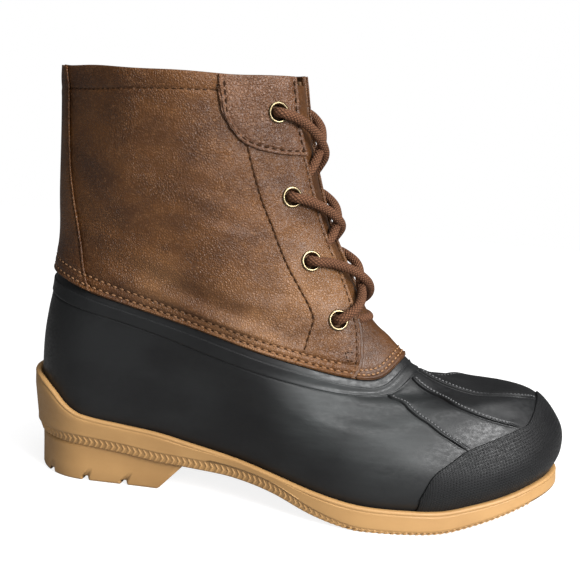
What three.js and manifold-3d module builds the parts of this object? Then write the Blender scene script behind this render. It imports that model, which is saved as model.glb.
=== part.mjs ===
// A right duck boot: a leather shaft on a moulded rubber foot with a gum sole.
// Millimetres. +X runs to the toe, +Y to the inner side of the foot, +Z up.

import * as THREE from 'three';
import Module from 'manifold-3d';
import { mergeVertices } from 'three/addons/utils/BufferGeometryUtils.js';

// Last: the sizes that the sections follow
const LENGTH = 285;
const BALL_WIDTH = 98;
const HEEL_WIDTH = 70;
const SHAFT_WIDTH = 88;
const COLLAR_HEIGHT = 220.5;
const EDGE_BACK_HEIGHT = 112.5;
const EDGE_FRONT_HEIGHT = 80;
const TOE_SWING = 10;
const VAMP_TILT = 4;
const ARCH_INSET = 4;

// Sole
const HEEL_LIFT = 25;
const SOLE_THICKNESS = 6;
const TOE_SPRING = 20;
const ARCH_HEIGHT = 15;
const RIM_RISE = 30;
const RIM_THICKNESS = 3.8;
const RIB_BAND_HEIGHT = 6;
const RIB_BAND_STEP = 0.7;
const HEEL_TAPER = 4.5;
const HEEL_BLOCK_INSET = 0.3;
const HEEL_BLOCK_TOP = 1.4;
const HEEL_BREAST = 77;
const BREAST_SLOPE = 14;
const GROOVE_WIDTH = 4.5;
const GROOVE_DEPTH = 3;
const SOLE_BEVEL = 1.6;

// Walls and layers
const GAP = 0.3;
const CURVED_GAP = 0.45;
const RUBBER_WALL = 2.5;
const BAND_STEP = 0.5;
const BAND_TUCK = 1.3;
const CAP_STEP = 1.0;
const SEAM_HEIGHT = 1.1;
const SEAM_WIDTH = 2.4;
const LEATHER_WALL = 2.0;
const EYESTAY_STEP = 0.5;
const COLLAR_BAND_STEP = 0.5;
const STRIP_THICKNESS = 0.8;
const PATCH_THICKNESS = 0.9;
const TONGUE_THICKNESS = 1.5;
const INSOLE_THICKNESS = 3.5;

// Eyelets and lace
const EYELET_DIAMETER = 11;
const EYELET_HOLE = 8;
const EYELET_BORE = 6.2;
const EYELET_FLANGE = 0.9;
const HOLE_REACH = 12;
const LACE_DIAMETER = 5.2;

// Columns round the foot, and the sides of a lace
const COLUMNS = 48;
const SHAFT_COLUMNS = 40;
const LACE_SIDES = 8;
const EYELET_SIDES = 12;

const wasm = await Module();
wasm.setup();

// Colours and finishes
const finish = (color, roughness, metalness = 0) => new THREE.MeshStandardMaterial({
  color, roughness, metalness,
});
const MATERIALS = {
  gum: finish(0xb98d55, 0.65),
  rubber: finish(0x242426, 0.42),
  leather: finish(0x6b4229, 0.5),
  tongueLeather: finish(0x7b4a26, 0.5),
  footbed: finish(0x3a3431, 0.9),
  brass: finish(0x8a7550, 0.35, 1),
  lace: finish(0x7a5238, 0.9),
};

// A smooth curve through a table's values, flat beyond its ends
function curve(at, values) {
  const last = at.length - 1;
  const slope = at.map((_, i) => {
    const before = Math.max(i - 1, 0);
    const after = Math.min(i + 1, last);
    return (values[after] - values[before]) / (at[after] - at[before]);
  });
  return (where) => {
    const x = Math.min(Math.max(where, at[0]), at[last]);
    let k = 0;
    while (k < last - 1 && x >= at[k + 1]) k += 1;
    const step = at[k + 1] - at[k];
    const u = (x - at[k]) / step;
    const u2 = u * u;
    const u3 = u2 * u;
    const start = (2 * u3 - 3 * u2 + 1) * values[k] + (u3 - 2 * u2 + u) * step * slope[k];
    const end = (3 * u2 - 2 * u3) * values[k + 1] + (u3 - u2) * step * slope[k + 1];
    return start + end;
  };
}

const mix = (a, b, u) => a + (b - a) * u;
const degrees = (angle) => THREE.MathUtils.degToRad(angle);
const rowCurve = (rows, at, column) => curve(rows.map((r) => r[at]), rows.map((r) => r[column]));

// Profile of the sole along the foot. at: share of LENGTH. heel: share of the heel's lift.
// spring: share of TOE_SPRING. arch: underside, share of ARCH_HEIGHT. rim: share of RIM_RISE.
// band: share of RIB_BAND_HEIGHT. taper: share of HEEL_TAPER.
const SOLE_PROFILE = [
  { at: 0.00, heel: 1.00, spring: 0.00, arch: 1.33, rim: 1.000, band: 1.0, taper: 1.0 },
  { at: 0.03, heel: 1.00, spring: 0.00, arch: 1.35, rim: 0.953, band: 1.0, taper: 1.0 },
  { at: 0.06, heel: 1.00, spring: 0.00, arch: 1.36, rim: 0.813, band: 1.0, taper: 1.0 },
  { at: 0.09, heel: 1.00, spring: 0.00, arch: 1.36, rim: 0.580, band: 1.0, taper: 0.9 },
  { at: 0.12, heel: 1.00, spring: 0.00, arch: 1.34, rim: 0.440, band: 1.0, taper: 0.8 },
  { at: 0.20, heel: 1.00, spring: 0.00, arch: 1.22, rim: 0.333, band: 1.0, taper: 0.6 },
  { at: 0.27, heel: 0.93, spring: 0.00, arch: 1.06, rim: 0.302, band: 1.0, taper: 0.5 },
  { at: 0.34, heel: 0.79, spring: 0.00, arch: 1.00, rim: 0.264, band: 1.0, taper: 0.4 },
  { at: 0.42, heel: 0.63, spring: 0.00, arch: 0.93, rim: 0.237, band: 1.0, taper: 0.3 },
  { at: 0.50, heel: 0.447, spring: 0.00, arch: 0.70, rim: 0.205, band: 1.0, taper: 0.2 },
  { at: 0.58, heel: 0.20, spring: 0.00, arch: 0.26, rim: 0.215, band: 0.7, taper: 0.1 },
  { at: 0.66, heel: 0.02, spring: 0.00, arch: 0.00, rim: 0.217, band: 0.4, taper: 0.0 },
  { at: 0.74, heel: 0.00, spring: 0.00, arch: 0.00, rim: 0.200, band: 0.3, taper: 0.0 },
  { at: 0.80, heel: 0.00, spring: 0.03, arch: 0.00, rim: 0.180, band: 0.3, taper: 0.0 },
  { at: 0.85, heel: 0.00, spring: 0.20, arch: 0.00, rim: 0.153, band: 0.3, taper: 0.0 },
  { at: 0.90, heel: 0.00, spring: 0.42, arch: 0.00, rim: 0.117, band: 0.3, taper: 0.0 },
  { at: 0.95, heel: 0.00, spring: 0.68, arch: 0.00, rim: 0.093, band: 0.25, taper: 0.0 },
  { at: 1.00, heel: 0.00, spring: 0.90, arch: 0.00, rim: 0.083, band: 0.2, taper: 0.0 },
];
const soleColumn = {};
for (const name of ['heel', 'spring', 'arch', 'rim', 'band', 'taper']) {
  soleColumn[name] = rowCurve(SOLE_PROFILE, 'at', name);
}
const footbed = (x) => SOLE_THICKNESS + (HEEL_LIFT - SOLE_THICKNESS) * soleColumn.heel(x / LENGTH)
  + TOE_SPRING * soleColumn.spring(x / LENGTH);
const underside = (x) => TOE_SPRING * soleColumn.spring(x / LENGTH)
  + ARCH_HEIGHT * Math.max(soleColumn.arch(x / LENGTH), 0);
const rimHeight = (x) => footbed(x) + RIM_RISE * soleColumn.rim(x / LENGTH);

// Sections of the foot and shaft, one row a ring, from the footbed up to the collar.
// back, front: ends of the ring, shares of LENGTH. level: height at STATIONS from back to front,
// 0 the footbed, 1 the line between the leather edge's two heights, 2 the collar.
// half: half widths at heel, waist, ball and toe, shares of half the foot's or the shaft's width.
// round: share of the ring over which its heel end and its toe end are rounded.
const STATIONS = [0, 0.25, 0.5, 0.75, 0.88, 0.95, 1];
const SECTIONS = [
  {
    name: 'feather', back: 0.007, front: 0.979, level: [0, 0, 0, 0, 0, 0, 0],
    half: [0.886, 0.871, 0.939, 0.837], round: [0.13, 0.26], tilt: 0,
  },
  {
    name: 'wall', back: -0.0035, front: 0.998, level: [0.12, 0.12, 0.12, 0.143, 0.159, 0.166, 0.213],
    half: [0.986, 0.971, 1, 0.918], round: [0.13, 0.26], tilt: 0,
  },
  {
    name: 'bulge', back: -0.002, front: 0.9895, level: [0.40, 0.35, 0.32, 0.339, 0.355, 0.392, 0.47],
    half: [1, 0.986, 0.99, 0.898], round: [0.13, 0.28], tilt: 0.25,
  },
  {
    name: 'toe roof', back: 0.002, front: 0.937,
    level: [0.58, 0.51, 0.46, 0.516, 0.655, 0.72, 0.757],
    half: [1, 0.971, 0.918, 0.857], round: [0.13, 0.40], tilt: 0.5,
  },
  {
    name: 'vamp', back: 0.009, front: 0.842,
    level: [0.73, 0.68, 0.61, 0.605, 0.725, 0.772, 0.778],
    half: [1, 0.986, 0.847, 0.785], round: [0.15, 0.50], tilt: 1,
  },
  {
    name: 'band line', back: 0.017, front: 0.730,
    level: [0.858, 0.822, 0.762, 0.717, 0.721, 0.762, 0.902],
    half: [0.986, 1, 0.796, 0.735], round: [0.18, 0.45], tilt: 0.2,
  },
  {
    name: 'leather edge', back: 0.022, front: 0.7035,
    level: [0.995, 0.952, 0.915, 0.86, 0.835, 0.861, 1],
    half: [0.784, 0.807, 0.864, 0.795], round: [0.22, 0.42], tilt: 0,
  },
  {
    name: 'ankle', back: 0.030, front: 0.642,
    level: [1.175, 1.159, 1.149, 1.169, 1.189, 1.192, 1.144],
    half: [0.773, 0.841, 0.852, 0.773], round: [0.30, 0.45], tilt: 0,
  },
  {
    name: 'lower shaft', back: 0.029, front: 0.561,
    level: [1.396, 1.413, 1.431, 1.466, 1.484, 1.482, 1.448],
    half: [0.75, 0.886, 0.898, 0.773], round: [0.35, 0.45], tilt: 0,
  },
  {
    name: 'upper shaft', back: 0.031, front: 0.5175,
    level: [1.719, 1.734, 1.744, 1.759, 1.766, 1.764, 1.747],
    half: [0.761, 0.955, 0.966, 0.795], round: [0.38, 0.45], tilt: 0,
  },
  {
    name: 'collar', back: 0.031, front: 0.495, level: [2, 2, 2, 2, 2, 2, 2],
    half: [0.773, 0.989, 1, 0.807], round: [0.40, 0.45], tilt: 0,
  },
];
const ROW = Object.fromEntries(SECTIONS.map((section, i) => [section.name, i]));
const BAND_LINE = ROW['band line'];
const LEATHER_EDGE = ROW['leather edge'];
const COLLAR = ROW.collar;

// Where the half widths stand along the ring, on the outer and the inner side of the foot
const OUTER_STATIONS = [0, 0.12, 0.40, 0.64, 0.86, 1];
const INNER_STATIONS = [0, 0.12, 0.44, 0.72, 0.90, 1];
const WAIST_STATION = 0.42;
const WAIST_SPREAD = 0.13;

for (const [i, section] of SECTIONS.entries()) {
  const widths = i <= BAND_LINE
    ? [HEEL_WIDTH, HEEL_WIDTH, BALL_WIDTH, BALL_WIDTH]
    : [SHAFT_WIDTH, SHAFT_WIDTH, SHAFT_WIDTH, SHAFT_WIDTH];
  const halves = section.half.map((share, k) => share * widths[k] / 2);
  const padded = [halves[0], ...halves, halves[3]];
  section.levelAt = curve(STATIONS, section.level);
  section.outerHalf = curve(OUTER_STATIONS, padded);
  section.innerHalf = curve(INNER_STATIONS, padded);
}

// The foot's centre line swings to the inner side at the toe
const swing = curve([0, 0.2, 0.42, 0.65, 0.85, 1], [0, 0, -0.15, -0.05, 0.45, 1]);
const centreLine = (x) => TOE_SWING * swing(x / LENGTH);

const roundEnd = (s) => {
  const u = Math.min(Math.max(s, 0), 1);
  return Math.sqrt(2 * u - u * u);
};

function edgeHeightAt(t) {
  const section = SECTIONS[LEATHER_EDGE];
  const low = footbed(LENGTH * mix(section.back, section.front, t)) + GAP;
  return mix(low, mix(EDGE_BACK_HEIGHT, EDGE_FRONT_HEIGHT, t), section.levelAt(t));
}

// A point of one ring. The angle is 0 at the toe and 180 degrees at the heel, plus on the inner side.
function ringPoint(i, angle) {
  const section = SECTIONS[i];
  const t = (1 + Math.cos(angle)) / 2;
  const x = LENGTH * mix(section.back, section.front, t);
  const low = footbed(x) + GAP;
  const level = section.levelAt(t);
  let z = mix(low, mix(EDGE_BACK_HEIGHT, EDGE_FRONT_HEIGHT, t), level);
  z += VAMP_TILT * section.tilt * Math.sin(angle) * t * t;
  if (i > LEATHER_EDGE) z = mix(edgeHeightAt(t), COLLAR_HEIGHT, level - 1);
  const inner = Math.sin(angle) > 0;
  let half = inner ? section.innerHalf(t) : section.outerHalf(t);
  if (inner && i < ROW.vamp) {
    const waist = Math.exp(-(((t - WAIST_STATION) / WAIST_SPREAD) ** 2));
    half -= ARCH_INSET * (1 - i / ROW.vamp) * waist;
  }
  const ends = roundEnd(t / section.round[0]) * roundEnd((1 - t) / section.round[1]);
  const y = centreLine(x) + (inner ? 1 : -1) * half * ends;
  return new THREE.Vector3(x, y, z);
}

// The last's surface between rings, smooth through them. v counts rings from the footbed up.
function lastPoint(v, angle) {
  const top = SECTIONS.length - 1;
  const k = Math.min(Math.max(Math.floor(v), 0), top - 1);
  const u = v - k;
  const one = ringPoint(k, angle);
  const two = ringPoint(k + 1, angle);
  const zero = k > 0 ? ringPoint(k - 1, angle) : one.clone().multiplyScalar(2).sub(two);
  const three = k < top - 1 ? ringPoint(k + 2, angle) : two.clone().multiplyScalar(2).sub(one);
  const blend = (a, b, c, d) => 0.5 * (2 * b + (c - a) * u + (2 * a - 5 * b + 4 * c - d) * u * u
    + (3 * b - a - 3 * c + d) * u * u * u);
  return new THREE.Vector3(
    blend(zero.x, one.x, two.x, three.x),
    blend(zero.y, one.y, two.y, three.y),
    blend(zero.z, one.z, two.z, three.z),
  );
}

const PROBE = 0.02;

function lastNormal(v, angle) {
  const round = lastPoint(v, angle + PROBE).sub(lastPoint(v, angle - PROBE));
  const up = lastPoint(v + PROBE, angle).sub(lastPoint(v - PROBE, angle));
  return round.cross(up).normalize();
}

// A point on or off the last's surface, out along its normal
const offLast = (v, angle, out) => lastPoint(v, angle).addScaledVector(lastNormal(v, angle), out);

// The ring count at which a column of the last reaches the sole's rim
function rimLevel(angle) {
  let low = 0;
  let high = ROW.vamp;
  for (let i = 0; i < 40; i += 1) {
    const middle = (low + high) / 2;
    const point = lastPoint(middle, angle);
    if (point.z < rimHeight(point.x)) low = middle;
    else high = middle;
  }
  return (low + high) / 2;
}

// Meshes from grids of points
function meshFrom(points, triangles) {
  const geometry = new THREE.BufferGeometry();
  geometry.setAttribute('position', new THREE.Float32BufferAttribute(points.flatMap((p) => [...p]), 3));
  geometry.setIndex(triangles.flat());
  return geometry;
}

const quad = (a, b, c, d) => [[a, b, c], [a, c, d]];

// Round the foot: each step of the wall's outline is a function of the angle
function ringWall(outline, columns = COLUMNS) {
  const points = [];
  const triangles = [];
  const rows = outline.length;
  for (let c = 0; c < columns; c += 1) {
    const angle = (c / columns) * 2 * Math.PI;
    for (const step of outline) points.push(step(angle));
  }
  for (let c = 0; c < columns; c += 1) {
    for (let r = 0; r < rows; r += 1) {
      const next = (c + 1) % columns;
      const up = (r + 1) % rows;
      triangles.push(...quad(c * rows + r, next * rows + r, next * rows + up, c * rows + up));
    }
  }
  return meshFrom(points, triangles);
}

// A stack of rings with the same count of points, closed by a strip at each end.
// A ring starts on the centre line in front and runs round by the inner side.
function stack(rings) {
  const points = rings.flat();
  const n = rings[0].length;
  const triangles = [];
  for (let r = 0; r < rings.length - 1; r += 1) {
    for (let c = 0; c < n; c += 1) {
      const next = (c + 1) % n;
      triangles.push(...quad(r * n + c, r * n + next, (r + 1) * n + next, (r + 1) * n + c));
    }
  }
  const close = (base, flip) => {
    for (let c = 0; c < n / 2; c += 1) {
      const left = base + c;
      const leftNext = base + c + 1;
      const right = base + ((n - c) % n);
      const rightNext = base + n - c - 1;
      const faces = [];
      if (left !== right) faces.push([left, leftNext, right]);
      if (leftNext !== rightNext) faces.push([leftNext, rightNext, right]);
      for (const face of faces) triangles.push(flip ? face.reverse() : face);
    }
  };
  close((rings.length - 1) * n, false);
  close(0, true);
  return meshFrom(points, triangles);
}

// A closed sheet between an outer and an inner grid. us and vs run from 0 to 1 or over real values.
function sheet(us, vs, outer, inner) {
  const points = [];
  const triangles = [];
  const wide = us.length;
  const tall = vs.length;
  for (const surface of [outer, inner]) {
    for (const u of us) {
      for (const v of vs) points.push(surface(u, v));
    }
  }
  const outerAt = (i, j) => i * tall + j;
  const innerAt = (i, j) => wide * tall + i * tall + j;
  for (let i = 0; i < wide - 1; i += 1) {
    for (let j = 0; j < tall - 1; j += 1) {
      triangles.push(...quad(outerAt(i, j), outerAt(i + 1, j), outerAt(i + 1, j + 1), outerAt(i, j + 1)));
      triangles.push(...quad(innerAt(i, j), innerAt(i, j + 1), innerAt(i + 1, j + 1), innerAt(i + 1, j)));
    }
  }
  const end = tall - 1;
  for (let i = 0; i < wide - 1; i += 1) {
    triangles.push(...quad(outerAt(i, 0), innerAt(i, 0), innerAt(i + 1, 0), outerAt(i + 1, 0)));
    triangles.push(...quad(outerAt(i, end), outerAt(i + 1, end), innerAt(i + 1, end), innerAt(i, end)));
  }
  const side = wide - 1;
  for (let j = 0; j < end; j += 1) {
    triangles.push(...quad(outerAt(0, j), outerAt(0, j + 1), innerAt(0, j + 1), innerAt(0, j)));
    triangles.push(...quad(outerAt(side, j), innerAt(side, j), innerAt(side, j + 1), outerAt(side, j + 1)));
  }
  return meshFrom(points, triangles);
}

const steps = (count, from = 0, to = 1) => Array.from(
  { length: count + 1 },
  (_, i) => mix(from, to, i / count),
);

// Booleans
function solid(geometry) {
  const bare = geometry.index ? geometry.toNonIndexed() : geometry.clone();
  bare.deleteAttribute('normal');
  bare.deleteAttribute('uv');
  const merged = mergeVertices(bare, 1e-5);
  return new wasm.Manifold(new wasm.Mesh({
    numProp: 3,
    vertProperties: new Float32Array(merged.attributes.position.array),
    triVerts: new Uint32Array(merged.index.array),
  }));
}

function geometryOf(manifold) {
  const mesh = manifold.getMesh();
  const geometry = new THREE.BufferGeometry();
  geometry.setAttribute('position', new THREE.BufferAttribute(mesh.vertProperties, 3));
  geometry.setIndex(new THREE.BufferAttribute(mesh.triVerts, 1));
  return geometry;
}

const group = new THREE.Group();

function add(name, geometry, material) {
  const bare = geometry.clone();
  bare.deleteAttribute('normal');
  bare.deleteAttribute('uv');
  const merged = mergeVertices(bare, 1e-5);
  merged.computeVertexNormals();
  const mesh = new THREE.Mesh(merged, material);
  mesh.name = name;
  group.add(mesh);
}

// Rubber shell: one hollow wall with a raised top band, toe bumper and raised seams
const LAP = 0.5;
const LAP_WALL = 2;
const LAP_OUT = -LEATHER_WALL - CURVED_GAP;
const BAND_TOP = BAND_LINE + 0.66;
const shellTop = LEATHER_EDGE + LAP;
const STEP_SPAN = 0.03;

const SEAMS = [
  { v: 2.33, outer: 44.5, middle: 25, centre: 0 },
  { v: 2.45, outer: 46, middle: 26.5, centre: 0 },
  { v: 2.80, outer: 49, middle: 34.5, centre: 7 },
  { v: 3.10, outer: 49.5, middle: 37.5, centre: 13 },
  { v: 3.50, outer: 49, middle: 36.5, centre: 14 },
  { v: 4.00, outer: 45.5, middle: 30, centre: 12 },
  { v: 4.50, outer: 39.5, middle: 21, centre: 9 },
  { v: 5.00, outer: 31, middle: 13, centre: 3 },
];
const SEAM_START = 4.98;
const SEAM_ENDS = { outer: 2.36, middle: 2.5, centre: 2.9 };

const CAP_EDGE = [
  { angle: 0, v: 2.88 },
  { angle: 10, v: 2.75 },
  { angle: 17, v: 2.58 },
  { angle: 23, v: 2.44 },
  { angle: 27, v: 2.44 },
  { angle: 36, v: 2.40 },
  { angle: 44.5, v: 2.33 },
  { angle: 49, v: 2.18 },
  { angle: 53.5, v: 1.93 },
  { angle: 56, v: 1.62 },
  { angle: 58, v: 1.05 },
];
const capEdge = rowCurve(CAP_EDGE, 'angle', 'v');

function raisedSeam(column, side) {
  const at = rowCurve(SEAMS, 'v', column);
  const place = (v, across, out) => {
    const angle = side * degrees(at(v));
    const speed = lastPoint(v, angle + PROBE).distanceTo(lastPoint(v, angle - PROBE)) / (2 * PROBE);
    return offLast(v, angle + (across * SEAM_WIDTH) / 2 / speed, out);
  };
  const crest = (across) => (across === 0 ? SEAM_HEIGHT : SEAM_HEIGHT / 4);
  return sheet(
    [-1, 0, 1],
    steps(9, SEAM_ENDS[column], SEAM_START),
    (across, v) => place(v, across, crest(across)),
    (across, v) => place(v, across, -RUBBER_WALL / 2),
  );
}

function toeCap() {
  const edge = CAP_EDGE[CAP_EDGE.length - 1].angle;
  const low = (angle) => rimLevel(angle) + 0.06;
  const place = (angle, share, out) => {
    const top = capEdge(Math.abs(angle));
    const turn = degrees(angle);
    return offLast(mix(low(turn), top, share), turn, out);
  };
  const half = [58, 56, 53.5, 49, 44.5, 36, 27, 20, 10];
  const angles = [...half.map((a) => -a), 0, ...half.reverse()].filter((a) => Math.abs(a) <= edge);
  return sheet(
    angles,
    steps(5),
    (angle, share) => place(angle, share, CAP_STEP),
    (angle, share) => place(angle, share, -RUBBER_WALL / 2),
  );
}

function rubberShell() {
  const on = (v, out) => (angle) => offLast(v, angle, out);
  const outside = steps(9, 0, BAND_LINE - 0.5).map((v) => on(v, 0));
  const bandFoot = [on(BAND_LINE - STEP_SPAN, 0), on(BAND_LINE + STEP_SPAN, BAND_STEP)];
  const bandHead = [on(BAND_TOP - STEP_SPAN, BAND_STEP), on(BAND_TOP + STEP_SPAN, -BAND_TUCK / 3)];
  const tuck = [on(LEATHER_EDGE - 2 * STEP_SPAN, -BAND_TUCK)];
  const lap = [LEATHER_EDGE, LEATHER_EDGE + LAP / 2, shellTop].map((v) => on(v, LAP_OUT));
  const lapInside = [shellTop, LEATHER_EDGE].map((v) => on(v, LAP_OUT - LAP_WALL));
  const inside = [BAND_TOP - 0.3, 5, 4.5, 4, 3.5, 3, 2, 1, 0].map((v) => on(v, -RUBBER_WALL));
  const outline = [...outside, ...bandFoot, ...bandHead, ...tuck, ...lap, ...lapInside, ...inside];
  let shell = solid(ringWall(outline));
  shell = shell.add(solid(toeCap()));
  for (const side of [-1, 1]) {
    shell = shell.add(solid(raisedSeam('outer', side)));
    shell = shell.add(solid(raisedSeam('middle', side)));
  }
  shell = shell.add(solid(raisedSeam('centre', -1)));
  return geometryOf(shell);
}

// Sole: a cup with a rib band, a heel block and lugs
const ringAngles = steps(COLUMNS, 0, 2 * Math.PI).slice(0, COLUMNS);

function soleOutline(angle, inset) {
  const v = rimLevel(angle);
  const point = lastPoint(v, angle);
  const normal = lastNormal(v, angle).setZ(0).normalize();
  return point.addScaledVector(normal, RIM_THICKNESS - inset);
}

function soleWall(angle, inset, height) {
  const point = soleOutline(angle, inset(point0(angle)));
  point.z = height(point0(angle));
  return point;
}

// The rim's own place along the foot settles every height of its column
function point0(angle) {
  return lastPoint(rimLevel(angle), angle).x;
}

function soleCup() {
  const taper = (x) => HEEL_TAPER * soleColumn.taper(x / LENGTH);
  const band = (x) => RIB_BAND_HEIGHT * soleColumn.band(x / LENGTH);
  const rings = [
    [(x) => taper(x) + SOLE_BEVEL, underside],
    [(x) => taper(x), (x) => underside(x) + band(x) * 0.15],
    [(x) => taper(x) / 3, (x) => underside(x) + band(x)],
    [(x) => taper(x) / 3 + RIB_BAND_STEP, (x) => underside(x) + band(x) + GAP],
    [() => RIB_BAND_STEP / 2, (x) => mix(underside(x) + band(x), rimHeight(x), 0.6)],
    [() => 0, (x) => rimHeight(x) - 1],
    [() => 0.4, rimHeight],
  ].map(([inset, height]) => ringAngles.map((angle) => soleWall(angle, inset, height)));
  const cupRings = [1, 0.66, 0.33, 0].map((share) => ringAngles.map((angle) => {
    const v = rimLevel(angle);
    const point = offLast(v * share, angle, CURVED_GAP);
    if (share === 1) point.z = rimHeight(point0(angle));
    if (share === 0) point.z = footbed(point.x) - GAP;
    return point;
  }));
  return stack([...rings, ...cupRings]);
}

// Angle at which the sole's outline crosses a place along the foot
function outlineAngle(x, side) {
  let toe = 0;
  let heel = Math.PI;
  for (let i = 0; i < 40; i += 1) {
    const middle = (toe + heel) / 2;
    if (soleOutline(side * middle, 0).x > x) toe = middle;
    else heel = middle;
  }
  return side * (toe + heel) / 2;
}

function heelRing(inset, z) {
  const breast = HEEL_BREAST + BREAST_SLOPE * Math.min(z / ARCH_HEIGHT, 1);
  const inner = outlineAngle(breast, 1);
  const outer = outlineAngle(breast, -1) + 2 * Math.PI;
  const round = steps(22, inner, outer).map((angle) => soleOutline(angle, inset).setZ(z));
  const front = round[0].clone().lerp(round[round.length - 1], 0.5);
  return [front, ...round];
}

function heelBlock() {
  const inset = HEEL_TAPER + HEEL_BLOCK_INSET;
  const top = ARCH_HEIGHT * HEEL_BLOCK_TOP;
  return stack([heelRing(inset + SOLE_BEVEL, 0), heelRing(inset, SOLE_BEVEL), heelRing(inset, top)]);
}

function bar(length, width, height, x, y, z, turn) {
  const box = new THREE.BoxGeometry(width, length, height);
  box.rotateZ(turn);
  box.translate(x, y, z);
  return solid(box);
}

const HEEL_GROOVES = [
  { at: 0.05, turn: 0 },
  { at: 0.127, turn: 0 },
  { at: 0.203, turn: 0 },
];
const FOREFOOT_GROOVES = [0.60, 0.645, 0.69, 0.735, 0.78, 0.825, 0.87];
const GROOVE_ANGLE = 25;
const GROOVE_MARGIN = 12;

function outsole() {
  let sole = solid(soleCup()).add(solid(heelBlock()));
  for (const { at, turn } of HEEL_GROOVES) {
    sole = sole.subtract(bar(HEEL_WIDTH * 2, GROOVE_WIDTH, 2 * GROOVE_DEPTH, at * LENGTH, 0, 0, turn));
  }
  for (const at of FOREFOOT_GROOVES) {
    const x = at * LENGTH;
    const outer = soleOutline(outlineAngle(x, -1), GROOVE_MARGIN).y;
    const inner = soleOutline(outlineAngle(x, 1), GROOVE_MARGIN).y;
    const middle = (outer + inner) / 2;
    const slant = degrees(GROOVE_ANGLE);
    const length = (inner - outer) / 2 / Math.cos(slant);
    const shift = (length / 2) * Math.sin(slant);
    const z = underside(x);
    const left = bar(length, GROOVE_WIDTH, 2 * GROOVE_DEPTH, x - shift, (middle + inner) / 2, z, slant);
    const right = bar(length, GROOVE_WIDTH, 2 * GROOVE_DEPTH, x - shift, (middle + outer) / 2, z, -slant);
    sole = sole.subtract(left.add(right));
  }
  return geometryOf(sole);
}

// Insole on the cup's floor, inside the shell
function insole() {
  const ring = (lift, share) => ringAngles.map((angle) => {
    const point = offLast(share, angle, -RUBBER_WALL - 2 * GAP);
    return point.setZ(footbed(point.x) + 2 * GAP + lift);
  });
  return stack([ring(0, 0), ring(INSOLE_THICKNESS, 0)]);
}

// Throat: the eyestay's front edge, its stitched rear edge and the patch, by ring count
const THROAT = [
  { v: 6.00, edge: 41, rear: 62 },
  { v: 6.30, edge: 34.5, rear: 58 },
  { v: 6.68, edge: 28, rear: 52.5 },
  { v: 6.85, edge: 25, rear: 49.5 },
  { v: 7.03, edge: 23, rear: 46.5 },
  { v: 7.25, edge: 20, rear: 46.5 },
  { v: 7.62, edge: 17.2, rear: 48.8 },
  { v: 8.05, edge: 17.4, rear: 50 },
  { v: 8.35, edge: 17.5, rear: 52 },
  { v: 8.68, edge: 18.4, rear: 53.5 },
  { v: 9.10, edge: 21, rear: 55 },
  { v: 9.35, edge: 22, rear: 55.5 },
  { v: 10.0, edge: 21.5, rear: 56 },
];
const throatEdge = rowCurve(THROAT, 'v', 'edge');
const eyestayRear = rowCurve(THROAT, 'v', 'rear');

// Eyelet centres: ring count and angle from the front
const EYELETS = [
  { v: 9.47, angle: 37 },
  { v: 8.40, angle: 36 },
  { v: 7.68, angle: 36 },
  { v: 7.00, angle: 35 },
];

const PATCH_IN = EYESTAY_STEP + GAP;
const PATCH_OUT = PATCH_IN + PATCH_THICKNESS;
const COLLAR_BAND = 9.66;
const shaftRows = [6, 6.25, 6.5, 7, 7.5, 8, 8.5, 9, 9.35];

// Turns a lathe or cylinder, whose axis is Y, onto the last's normal
function standOn(geometry, v, angle, out) {
  const turn = new THREE.Quaternion().setFromUnitVectors(new THREE.Vector3(0, 1, 0), lastNormal(v, angle));
  const place = offLast(v, angle, out);
  return geometry.clone().applyQuaternion(turn).translate(place.x, place.y, place.z);
}

function eyeletHole(v, angle) {
  return solid(standOn(new THREE.CylinderGeometry(EYELET_HOLE / 2, EYELET_HOLE / 2, HOLE_REACH, EYELET_SIDES), v, angle, 0));
}

function shaft() {
  const outline = [
    ...shaftRows.map((v) => [v, 0]),
    [COLLAR_BAND - STEP_SPAN, 0],
    [COLLAR_BAND, COLLAR_BAND_STEP],
    [COLLAR, COLLAR_BAND_STEP],
  ];
  const place = (u, [v, out]) => {
    const edge = degrees(throatEdge(v));
    return offLast(v, mix(edge, 2 * Math.PI - edge, u), out);
  };
  const around = steps(SHAFT_COLUMNS);
  let body = solid(sheet(
    around,
    outline,
    place,
    (u, [v]) => place(u, [v, -LEATHER_WALL]),
  ));
  const eyestayRows = [6, 6.4, 6.8, 7.1, 7.4, 7.8, 8.2, 8.6, 9, 9.4, 9.6];
  for (const side of [-1, 1]) {
    const on = (u, v, out) => offLast(v, side * degrees(mix(throatEdge(v), eyestayRear(v), u)), out);
    const us = side > 0 ? steps(4) : steps(4).reverse();
    body = body.add(solid(sheet(
      us,
      eyestayRows,
      (u, v) => on(u, v, EYESTAY_STEP),
      (u, v) => on(u, v, -LEATHER_WALL / 2),
    )));
    for (const { v, angle } of EYELETS) body = body.subtract(eyeletHole(v, side * degrees(angle)));
  }
  return geometryOf(body);
}

// Patch over the top of the eyestay: its lower edge by angle
const PATCH = [
  { angle: 21, v: 8.90 },
  { angle: 34.5, v: 8.90 },
  { angle: 49.5, v: 8.95 },
  { angle: 57, v: 9.05 },
  { angle: 61.5, v: 9.25 },
  { angle: 63.5, v: 9.45 },
  { angle: 64.5, v: 9.78 },
];
const patchFoot = rowCurve(PATCH, 'angle', 'v');

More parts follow.
